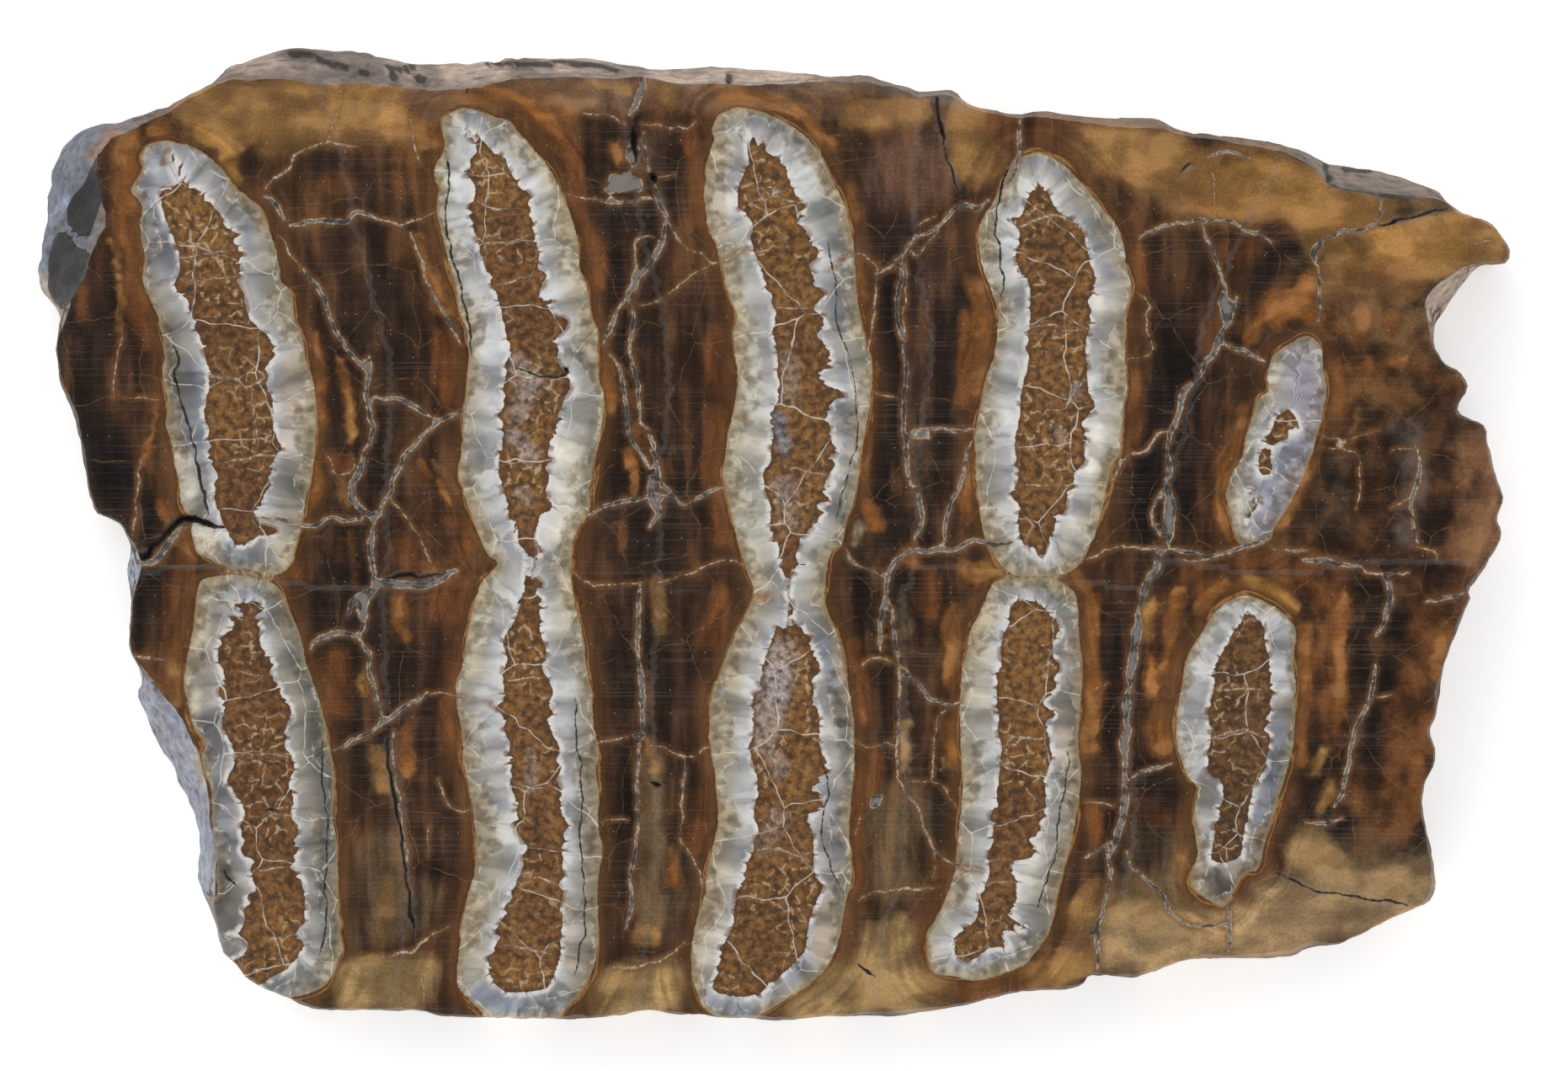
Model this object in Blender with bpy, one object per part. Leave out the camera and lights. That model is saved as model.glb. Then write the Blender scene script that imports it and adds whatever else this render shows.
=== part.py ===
"""Woolly mammoth tooth slice: one sawn and polished slab of fossil molar.

Metres, +Z up. The slab lies flat on its sawn back, with the polished face up.
Its long side runs along X. The origin is at the middle of the slab's box, on
the plane that it rests on.
"""

import math

import bmesh
import bpy
from mathutils import Vector

MM = 0.001

# Driving dimensions
LENGTH = 0.1098
WIDTH = 0.0724
THICKNESS = 0.009

# The broken edge of the slab, read clockwise from the left. Each row is x and y
# in millimetres from the lower left corner of the slab's box, then how far the
# polished face stays back from the edge there, where the natural skin of the
# tooth curves over and shows from above.
EDGE = [
    (1.6, 49.9, 0.2), (1.75, 51.0, 0.3), (1.95, 52.0, 0.5), (1.6, 52.6, 1.1), (0.96, 53.3, 1.9),
    (0.43, 54.1, 2.9), (0.07, 55.0, 3.7), (0.12, 56.3, 4.0), (0.4, 58.0, 4.4), (0.7, 60.1, 4.8),
    (1.1, 62.6, 4.6), (1.46, 63.7, 4.3), (2.04, 64.96, 3.6), (2.84, 65.95, 2.8), (3.68, 66.43, 2.2),
    (4.98, 66.75, 1.5), (6.14, 66.84, 1.1), (7.3, 67.18, 0.9), (9.0, 67.55, 0.5), (9.9, 67.75, 0.3),
    (10.6, 68.2, 0.3), (12.04, 69.16, 0.3), (13.38, 70.0, 0.5), (14.36, 71.04, 1.2), (15.5, 71.43, 1.6),
    (16.7, 71.8, 1.9), (18.0, 72.14, 2.2), (19.2, 72.34, 2.5), (20.3, 72.32, 2.7), (21.6, 72.14, 2.6),
    (23.5, 72.07, 2.4), (24.2, 71.88, 2.2), (24.8, 71.93, 2.2), (25.4, 71.66, 2.1), (26.5, 71.58, 2.1),
    (27.8, 71.27, 2.0), (29.0, 71.1, 1.9), (31.1, 71.3, 2.1), (32.1, 71.22, 2.0), (33.6, 71.42, 1.9),
    (34.6, 71.42, 1.7), (35.3, 71.7, 1.7), (35.9, 71.56, 1.6), (36.8, 71.7, 1.6), (40.9, 71.68, 1.6),
    (42.7, 71.5, 1.5), (45.0, 71.07, 0.95), (46.0, 70.87, 0.9), (48.5, 70.9, 1.3), (51.5, 70.95, 1.35),
    (55.5, 70.7, 1.1), (57.8, 70.53, 0.8), (59.0, 70.32, 0.5), (61.9, 70.3, 0.5), (62.8, 69.98, 0.4),
    (65.0, 69.48, 0.3), (65.7, 69.1, 0.35), (66.7, 69.05, 0.3), (67.9, 69.16, 0.3), (68.6, 68.86, 0.3),
    (69.2, 68.4, 0.3), (70.1, 67.96, 0.3), (71.5, 67.68, 0.3), (73.3, 67.4, 0.35), (74.3, 67.57, 0.4),
    (76.0, 67.52, 0.5), (80.0, 67.12, 0.6), (83.0, 67.17, 0.8), (84.0, 66.9, 0.6), (84.9, 66.42, 0.5),
    (86.2, 66.07, 0.4), (88.0, 65.88, 0.4), (92.0, 65.33, 0.6), (93.1, 65.18, 0.7), (94.5, 64.76, 0.9),
    (95.5, 64.2, 1.0), (96.4, 63.77, 1.5), (98.0, 63.6, 2.0), (99.5, 63.46, 2.1), (101.0, 63.02, 2.0),
    (102.7, 62.5, 1.4), (104.0, 62.05, 0.9), (104.8, 61.5, 0.6), (105.4, 60.8, 0.3), (106.3, 60.05, 0.2),
    (107.5, 59.66, 0.2), (108.5, 59.2, 0.2), (109.2, 58.3, 0.2), (109.7, 57.45, 0.2), (109.8, 56.85, 0.2),
    (109.46, 56.35, 0.2), (108.7, 56.28, 0.2), (107.7, 56.16, 0.3), (107.1, 55.7, 0.8), (106.0, 54.2, 1.6),
    (105.1, 53.06, 1.7), (104.4, 51.9, 0.9), (104.12, 51.3, 0.4), (104.16, 50.4, 0.3), (105.0, 48.8, 0.25),
    (106.1, 48.05, 0.2), (106.6, 47.26, 0.2), (106.4, 46.6, 0.2), (105.96, 45.75, 0.3), (106.1, 45.15, 0.3),
    (106.9, 44.7, 0.2), (107.8, 44.3, 0.2), (108.07, 43.8, 0.2), (108.1, 43.0, 0.2), (108.8, 40.2, 0.2),
    (109.28, 39.1, 0.2), (109.28, 38.5, 0.2), (108.87, 37.3, 0.25), (109.16, 36.3, 0.2), (109.0, 35.45, 0.2),
    (107.4, 32.8, 0.3), (106.8, 32.0, 0.35), (106.9, 31.35, 0.3), (106.4, 30.4, 0.2), (105.9, 29.1, 0.2),
    (105.0, 26.65, 0.2), (104.6, 25.0, 0.2), (104.3, 22.8, 0.2), (103.86, 21.4, 0.3), (104.2, 20.3, 0.2),
    (104.2, 19.1, 0.25), (103.45, 17.2, 0.3), (103.4, 15.5, 0.25), (104.06, 12.0, 0.3), (104.26, 10.3, 0.4),
    (104.1, 9.4, 0.4), (103.5, 8.65, 0.3), (102.2, 8.1, 0.25), (98.0, 6.0, 0.2), (96.9, 5.6, 0.2),
    (95.5, 5.5, 0.3), (94.3, 5.15, 0.5), (93.4, 4.75, 0.5), (90.0, 4.6, 0.3), (86.3, 4.5, 0.2),
    (83.0, 3.56, 0.25), (81.6, 3.22, 0.25), (78.8, 3.28, 0.2), (78.2, 2.84, 0.2), (77.3, 2.4, 0.2),
    (73.0, 2.04, 0.2), (69.1, 1.1, 0.2), (65.0, 0.43, 0.4), (60.0, 0.2, 0.3), (55.0, 0.03, 0.25),
    (50.0, 0.3, 0.2), (46.5, 0.6, 0.2), (45.3, 0.66, 0.2), (42.0, 0.2, 0.2), (39.0, 0.1, 0.2),
    (31.3, 0.25, 0.2), (28.0, 0.72, 0.2), (22.0, 0.75, 0.2), (20.1, 1.1, 0.2), (17.0, 2.5, 0.2),
    (15.9, 3.1, 0.2), (15.2, 3.96, 0.2), (14.4, 4.72, 0.2), (13.9, 5.35, 0.2), (13.55, 7.2, 0.2),
    (13.16, 8.1, 0.4), (12.2, 10.1, 1.4), (12.05, 11.2, 1.6), (12.25, 13.0, 1.3), (12.2, 14.3, 1.0),
    (11.45, 16.1, 1.7), (10.04, 18.9, 2.4), (9.2, 20.0, 2.7), (8.7, 21.2, 2.7), (8.43, 22.3, 2.3),
    (7.65, 23.9, 1.9), (7.65, 24.6, 1.6), (7.95, 25.3, 0.8), (7.9, 26.2, 0.25), (7.3, 27.1, 0.2),
    (7.0, 28.2, 0.2), (7.2, 29.9, 0.2), (7.16, 31.5, 0.3), (6.82, 33.1, 1.2), (6.95, 34.3, 0.9),
    (7.18, 35.1, 0.4), (6.9, 36.0, 0.2), (6.4, 36.9, 0.2), (5.6, 37.34, 0.2), (4.9, 37.57, 0.2),
    (4.45, 38.0, 0.2), (4.18, 38.95, 0.2), (3.7, 41.6, 0.2), (3.4, 43.2, 0.2), (2.8, 45.4, 0.3),
    (2.0, 47.4, 0.2),
]

# The side wall, from the sawn back up to the polished face
STATIONS = 240
WIDEST_AT = 0.38
LEVELS = (0.0, 0.14, WIDEST_AT, 0.62, 0.82, 1.0)
SKIN_CURVE = 1.5
BACK_TUCK = 0.55 * MM
TUCK_SWING = 0.35
NORMAL_SPAN = 5

COLLECTION = "mammoth_tooth_slice"
NODE = "tooth_slice"


def clear_scene():
    for old in list(bpy.data.objects):
        bpy.data.objects.remove(old, do_unlink=True)


def catmull_rom(a, b, c, d, t):
    """The point at t between b and c on a smooth curve through a, b, c and d."""
    return tuple(
        0.5 * (2 * q + (r - p) * t + (2 * p - 5 * q + 4 * r - s) * t * t + (3 * q - p - 3 * r + s) * t ** 3)
        for p, q, r, s in zip(a, b, c, d)
    )


def closed_curve(points, count):
    """Points at even steps of length along a smooth closed curve through the given ones."""
    fine = []
    total = len(points)
    for i in range(total):
        ring = [points[(i + k) % total] for k in (-1, 0, 1, 2)]
        fine += [catmull_rom(*ring, step / 8) for step in range(8)]
    fine.append(fine[0])
    runs = [0.0]
    for p, q in zip(fine, fine[1:]):
        runs.append(runs[-1] + math.dist(p[:2], q[:2]))
    samples = []
    k = 0
    for n in range(count):
        target = runs[-1] * n / count
        while runs[k + 1] < target:
            k += 1
        t = (target - runs[k]) / (runs[k + 1] - runs[k])
        samples.append(tuple(p + (q - p) * t for p, q in zip(fine[k], fine[k + 1])))
    return samples


def edge_stations():
    """Each station's place on the widest outline, the way inwards from it, and its skin width."""
    curve = closed_curve(EDGE, STATIONS)
    xs = [p[0] for p in curve]
    ys = [p[1] for p in curve]
    scale_x = LENGTH / (max(xs) - min(xs))
    scale_y = WIDTH / (max(ys) - min(ys))
    mid_x = (max(xs) + min(xs)) / 2
    mid_y = (max(ys) + min(ys)) / 2
    places = [Vector(((x - mid_x) * scale_x, (y - mid_y) * scale_y)) for x, y, skin in curve]
    stations = []
    for i, place in enumerate(places):
        along = places[(i + NORMAL_SPAN) % STATIONS] - places[i - NORMAL_SPAN]
        inwards = Vector((along.y, -along.x)).normalized()
        stations.append((place, inwards, curve[i][2] * MM))
    return stations


def wall_inset(index, level, skin):
    """How far the side wall stands in from the widest outline at a share of the thickness."""
    if level > WIDEST_AT:
        return skin * ((level - WIDEST_AT) / (1 - WIDEST_AT)) ** SKIN_CURVE
    angle = 2 * math.pi * index / STATIONS
    tuck = BACK_TUCK * (1 + TUCK_SWING * math.sin(7 * angle) * math.cos(11 * angle))
    return tuck * ((WIDEST_AT - level) / WIDEST_AT) ** 2


def tooth_mesh():
    """A loft through the outlines at each level, closed by the two sawn faces."""
    stations = edge_stations()
    bm = bmesh.new()
    rings = []
    for level in LEVELS:
        ring = []
        for i, (place, inwards, skin) in enumerate(stations):
            spot = place + inwards * wall_inset(i, level, skin)
            ring.append(bm.verts.new((spot.x, spot.y, level * THICKNESS)))
        rings.append(ring)
    for low, high in zip(rings, rings[1:]):
        for i in range(STATIONS):
            j = (i + 1) % STATIONS
            bm.faces.new((low[i], high[i], high[j], low[j]))
    polished = bm.faces.new(rings[-1])
    back = bm.faces.new(rings[0])
    bmesh.ops.triangulate(bm, faces=[polished, back], ngon_method="BEAUTY")
    bmesh.ops.recalc_face_normals(bm, faces=bm.faces)
    mesh = bpy.data.meshes.new(NODE)
    bm.to_mesh(mesh)
    bm.free()
    return mesh


def tooth_material():
    """Dark brown mineralised tooth, polished."""
    material = bpy.data.materials.new("fossil_tooth")
    material.use_nodes = True
    shader = material.node_tree.nodes["Principled BSDF"]
    shader.inputs["Base Color"].default_value = (0.16, 0.08, 0.035, 1.0)
    shader.inputs["Roughness"].default_value = 0.4
    shader.inputs["Metallic"].default_value = 0.0
    return material


def build():
    clear_scene()
    collection = bpy.data.collections.new(COLLECTION)
    bpy.context.scene.collection.children.link(collection)
    mesh = tooth_mesh()
    mesh.materials.append(tooth_material())
    mesh.shade_smooth()
    mesh.set_sharp_from_angle(angle=math.radians(35))
    collection.objects.link(bpy.data.objects.new(NODE, mesh))


build()
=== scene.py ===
"""Woolly mammoth tooth slice: the polished slab with its enamel loops, lying on a pale floor.

Marks on the slab are in millimetres from the lower left corner of its box, as seen from above.
"""

import itertools
import math
from types import SimpleNamespace

import bpy
import numpy as np
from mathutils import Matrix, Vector
from mathutils.geometry import delaunay_2d_cdt
from mathutils.kdtree import KDTree


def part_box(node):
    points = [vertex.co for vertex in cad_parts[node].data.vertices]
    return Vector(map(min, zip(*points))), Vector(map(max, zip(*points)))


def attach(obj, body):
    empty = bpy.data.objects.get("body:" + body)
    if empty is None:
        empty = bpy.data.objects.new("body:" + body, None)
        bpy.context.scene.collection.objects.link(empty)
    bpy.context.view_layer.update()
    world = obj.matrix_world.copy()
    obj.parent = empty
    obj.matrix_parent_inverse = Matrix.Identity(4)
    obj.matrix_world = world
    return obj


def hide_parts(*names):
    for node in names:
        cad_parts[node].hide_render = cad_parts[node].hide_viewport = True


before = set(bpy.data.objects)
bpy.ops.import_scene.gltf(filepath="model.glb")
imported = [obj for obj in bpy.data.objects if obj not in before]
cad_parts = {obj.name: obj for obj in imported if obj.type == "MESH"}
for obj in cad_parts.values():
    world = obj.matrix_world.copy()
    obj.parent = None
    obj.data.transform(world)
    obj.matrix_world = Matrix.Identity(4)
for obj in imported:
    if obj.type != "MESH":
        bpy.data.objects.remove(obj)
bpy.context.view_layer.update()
NODE = "tooth_slice"
LOW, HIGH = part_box(NODE)
MM = 0.001
LENGTH, WIDTH, THICKNESS = ((high - low) / MM for low, high in zip(LOW, HIGH))

# Mesh spacing: points round the wall, and the gaps between points on the faces
STATIONS = 700
TOP_SPACING = 0.44
BACK_SPACING = 0.78
LOOP_STEP = 0.12
CORE_STEP = 0.1
OUTLINE_SKIP = 2
BACK_OUTLINE_SKIP = 8
CRACK_STEP = 0.3
STROKE_STEP = 0.3
SNAP = 0.09
RIM_CLEARANCE = 0.16

# Side wall: the share of the height where it is widest, how the skin curves in above that,
# how far it tucks in below, the rings of points, and how the plates lean as they go down
WIDEST_AT = 0.38
SKIN_CURVE = 1.5
BACK_TUCK = 0.55
UPPER_RINGS = 13
LOWER_RINGS = 7
NORMAL_SPAN = 15
LEAN = (0.05, -0.035)
MEAN_RELIEF = 0.26
FACET_DEPTH = 0.28
GROOVE_DEPTH = 0.5
OUTSIDE = -9.0

# Polished face: depths of the softer tissues, and the cracks' width against the one in their lists
DENTINE_DROP = 0.035
CEMENTUM_DROP = 0.012
CRACK_WIDTH = 0.9

# Material: how far noise shifts the enamel's and the cracks' edges, the width of the rusty rim,
# where the plates end to the right of the slab's middle, and the polish
EDGE_RAGGED = 0.22
CRACK_RAGGED = 0.24
RIM_WIDTH = 2.5
PLATES_END = (34, 41)
POLISH = 0.34
DENTINE_ROUGHNESS = 0.52
GLASS_ROUGHNESS = 0.22
SHINE = 0.35
BUMP_STRENGTH = 0.6

# View and light, in metres, with the sensor in millimetres
CAMERA_HEIGHT = 1.3
FRAME_WIDTH = 0.116375
CAMERA_SHIFT = (0.00086, -0.00014)
SENSOR = 36.0
FLOOR_REACH = 3.0
FLOOR_GAP = 0.00002
FLOOR_GLOW = 0.4
SKY_FALL = (0.55, 0.93)
SKY_SIDES = 1.5
SKY_OVERHEAD = 0.05
LAMP_DISTANCE = 1.1
LIGHT_BOUNCES = 4

# Colours that the material mixes in, as linear light
TINTS = {
    "glow": (0.20, 0.085, 0.026), "gilt": (0.42, 0.235, 0.092), "shadow": (0.13, 0.062, 0.028),
    # Next line: the pale scratch tint is partly the scratches' own colour and partly a painted sheen
    "scratch_sheen": (0.42, 0.37, 0.32), "dust": (0.40, 0.36, 0.31),
    "moss": (0.56, 0.51, 0.43), "clear of moss": (1.04, 0.99, 0.91),
    "seam": (0.17, 0.15, 0.13), "bright seam": (0.60, 0.57, 0.50), "lip": (0.72, 0.68, 0.63),
    "lobe gap": (0.13, 0.06, 0.03), "fringe": (0.30, 0.235, 0.14),
    # Next line: the tint for the dentine's pits is painted shade
    "dentine cast": (0.96, 0.88, 0.80), "ridge": (0.50, 0.39, 0.245), "pit_shade": (0.050, 0.023, 0.010),
    "core edge": (0.075, 0.030, 0.011),
    "line in cementum": (0.21, 0.115, 0.05), "line in enamel": (0.66, 0.62, 0.54),
    "stain": (0.17, 0.076, 0.027), "dull mineral": (0.22, 0.145, 0.08), "pale mineral": (0.50, 0.42, 0.32),
    "dark filling": (0.034, 0.028, 0.024), "grey filling": (0.17, 0.15, 0.135),
    # Next line: the fissure tint is painted shade for the open fissures
    "wide filling": (0.21, 0.185, 0.175), "fissure": (0.010, 0.009, 0.008),
    # Next line: the tints for the skin's hollows and the crust's grooves are painted shade
    "side dust": (0.20, 0.165, 0.13), "hollow_shade": (0.06, 0.050, 0.045), "groove": (0.022, 0.018, 0.017),
    "glass": (0.001, 0.001, 0.001), "warm glass": (0.008, 0.005, 0.004),
}

# The rusty rim outside a loop: share of its width, then the colour and its strength
RIM_BANDS = [
    (0.0, (0.12, 0.05, 0.018, 0.8)),
    (0.03, (0.36, 0.19, 0.065, 0.85)),
    (0.07, (0.18, 0.070, 0.019, 0.8)),
    (0.12, (0.075, 0.030, 0.011, 0.6)),
    (0.18, (0.17, 0.076, 0.024, 0.4)),
    (0.36, (0.13, 0.058, 0.020, 0.22)),
    (0.8, (0.10, 0.044, 0.016, 0.0)),
]

# The broken edge, clockwise from the left. Each row is x, y and how far the
# polished face stays back from the edge, where the natural skin curves over.
EDGE = [
    (1.6, 49.9, 0.2), (1.75, 51.0, 0.3), (1.95, 52.0, 0.5), (1.6, 52.6, 1.1), (0.96, 53.3, 1.9),
    (0.43, 54.1, 2.9), (0.07, 55.0, 3.7), (0.12, 56.3, 4.0), (0.4, 58.0, 4.4), (0.7, 60.1, 4.8),
    (1.1, 62.6, 4.6), (1.46, 63.7, 4.3), (2.04, 64.96, 3.6), (2.84, 65.95, 2.8), (3.68, 66.43, 2.2),
    (4.98, 66.75, 1.5), (6.14, 66.84, 1.1), (7.3, 67.18, 0.9), (9.0, 67.55, 0.5), (9.9, 67.75, 0.3),
    (10.6, 68.2, 0.3), (12.04, 69.16, 0.3), (13.38, 70.0, 0.5), (14.36, 71.04, 1.2), (15.5, 71.43, 1.6),
    (16.7, 71.8, 1.9), (18.0, 72.14, 2.2), (19.2, 72.34, 2.5), (20.3, 72.32, 2.7), (21.6, 72.14, 2.6),
    (23.5, 72.07, 2.4), (24.2, 71.88, 2.2), (24.8, 71.93, 2.2), (25.4, 71.66, 2.1), (26.5, 71.58, 2.1),
    (27.8, 71.27, 2.0), (29.0, 71.1, 1.9), (31.1, 71.3, 2.1), (32.1, 71.22, 2.0), (33.6, 71.42, 1.9),
    (34.6, 71.42, 1.7), (35.3, 71.7, 1.7), (35.9, 71.56, 1.6), (36.8, 71.7, 1.6), (40.9, 71.68, 1.6),
    (42.7, 71.5, 1.5), (45.0, 71.07, 0.95), (46.0, 70.87, 0.9), (48.5, 70.9, 1.3), (51.5, 70.95, 1.35),
    (55.5, 70.7, 1.1), (57.8, 70.53, 0.8), (59.0, 70.32, 0.5), (61.9, 70.3, 0.5), (62.8, 69.98, 0.4),
    (65.0, 69.48, 0.3), (65.7, 69.1, 0.35), (66.7, 69.05, 0.3), (67.9, 69.16, 0.3), (68.6, 68.86, 0.3),
    (69.2, 68.4, 0.3), (70.1, 67.96, 0.3), (71.5, 67.68, 0.3), (73.3, 67.4, 0.35), (74.3, 67.57, 0.4),
    (76.0, 67.52, 0.5), (80.0, 67.12, 0.6), (83.0, 67.17, 0.8), (84.0, 66.9, 0.6), (84.9, 66.42, 0.5),
    (86.2, 66.07, 0.4), (88.0, 65.88, 0.4), (92.0, 65.33, 0.6), (93.1, 65.18, 0.7), (94.5, 64.76, 0.9),
    (95.5, 64.2, 1.0), (96.4, 63.77, 1.5), (98.0, 63.6, 2.0), (99.5, 63.46, 2.1), (101.0, 63.02, 2.0),
    (102.7, 62.5, 1.4), (104.0, 62.05, 0.9), (104.8, 61.5, 0.6), (105.4, 60.8, 0.3), (106.3, 60.05, 0.2),
    (107.5, 59.66, 0.2), (108.5, 59.2, 0.2), (109.2, 58.3, 0.2), (109.7, 57.45, 0.2), (109.8, 56.85, 0.2),
    (109.46, 56.35, 0.2), (108.7, 56.28, 0.2), (107.7, 56.16, 0.3), (107.1, 55.7, 0.8), (106.0, 54.2, 1.6),
    (105.1, 53.06, 1.7), (104.4, 51.9, 0.9), (104.12, 51.3, 0.4), (104.16, 50.4, 0.3), (105.0, 48.8, 0.25),
    (106.1, 48.05, 0.2), (106.6, 47.26, 0.2), (106.4, 46.6, 0.2), (105.96, 45.75, 0.3), (106.1, 45.15, 0.3),
    (106.9, 44.7, 0.2), (107.8, 44.3, 0.2), (108.07, 43.8, 0.2), (108.1, 43.0, 0.2), (108.8, 40.2, 0.2),
    (109.28, 39.1, 0.2), (109.28, 38.5, 0.2), (108.87, 37.3, 0.25), (109.16, 36.3, 0.2), (109.0, 35.45, 0.2),
    (107.4, 32.8, 0.3), (106.8, 32.0, 0.35), (106.9, 31.35, 0.3), (106.4, 30.4, 0.2), (105.9, 29.1, 0.2),
    (105.0, 26.65, 0.2), (104.6, 25.0, 0.2), (104.3, 22.8, 0.2), (103.86, 21.4, 0.3), (104.2, 20.3, 0.2),
    (104.2, 19.1, 0.25), (103.45, 17.2, 0.3), (103.4, 15.5, 0.25), (104.06, 12.0, 0.3), (104.26, 10.3, 0.4),
    (104.1, 9.4, 0.4), (103.5, 8.65, 0.3), (102.2, 8.1, 0.25), (98.0, 6.0, 0.2), (96.9, 5.6, 0.2),
    (95.5, 5.5, 0.3), (94.3, 5.15, 0.5), (93.4, 4.75, 0.5), (90.0, 4.6, 0.3), (86.3, 4.5, 0.2),
    (83.0, 3.56, 0.25), (81.6, 3.22, 0.25), (78.8, 3.28, 0.2), (78.2, 2.84, 0.2), (77.3, 2.4, 0.2),
    (73.0, 2.04, 0.2), (69.1, 1.1, 0.2), (65.0, 0.43, 0.4), (60.0, 0.2, 0.3), (55.0, 0.03, 0.25),
    (50.0, 0.3, 0.2), (46.5, 0.6, 0.2), (45.3, 0.66, 0.2), (42.0, 0.2, 0.2), (39.0, 0.1, 0.2),
    (31.3, 0.25, 0.2), (28.0, 0.72, 0.2), (22.0, 0.75, 0.2), (20.1, 1.1, 0.2), (17.0, 2.5, 0.2),
    (15.9, 3.1, 0.2), (15.2, 3.96, 0.2), (14.4, 4.72, 0.2), (13.9, 5.35, 0.2), (13.55, 7.2, 0.2),
    (13.16, 8.1, 0.4), (12.2, 10.1, 1.4), (12.05, 11.2, 1.6), (12.25, 13.0, 1.3), (12.2, 14.3, 1.0),
    (11.45, 16.1, 1.7), (10.04, 18.9, 2.4), (9.2, 20.0, 2.7), (8.7, 21.2, 2.7), (8.43, 22.3, 2.3),
    (7.65, 23.9, 1.9), (7.65, 24.6, 1.6), (7.95, 25.3, 0.8), (7.9, 26.2, 0.25), (7.3, 27.1, 0.2),
    (7.0, 28.2, 0.2), (7.2, 29.9, 0.2), (7.16, 31.5, 0.3), (6.82, 33.1, 1.2), (6.95, 34.3, 0.9),
    (7.18, 35.1, 0.4), (6.9, 36.0, 0.2), (6.4, 36.9, 0.2), (5.6, 37.34, 0.2), (4.9, 37.57, 0.2),
    (4.45, 38.0, 0.2), (4.18, 38.95, 0.2), (3.7, 41.6, 0.2), (3.4, 43.2, 0.2), (2.8, 45.4, 0.3),
    (2.0, 47.4, 0.2),
]

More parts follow.
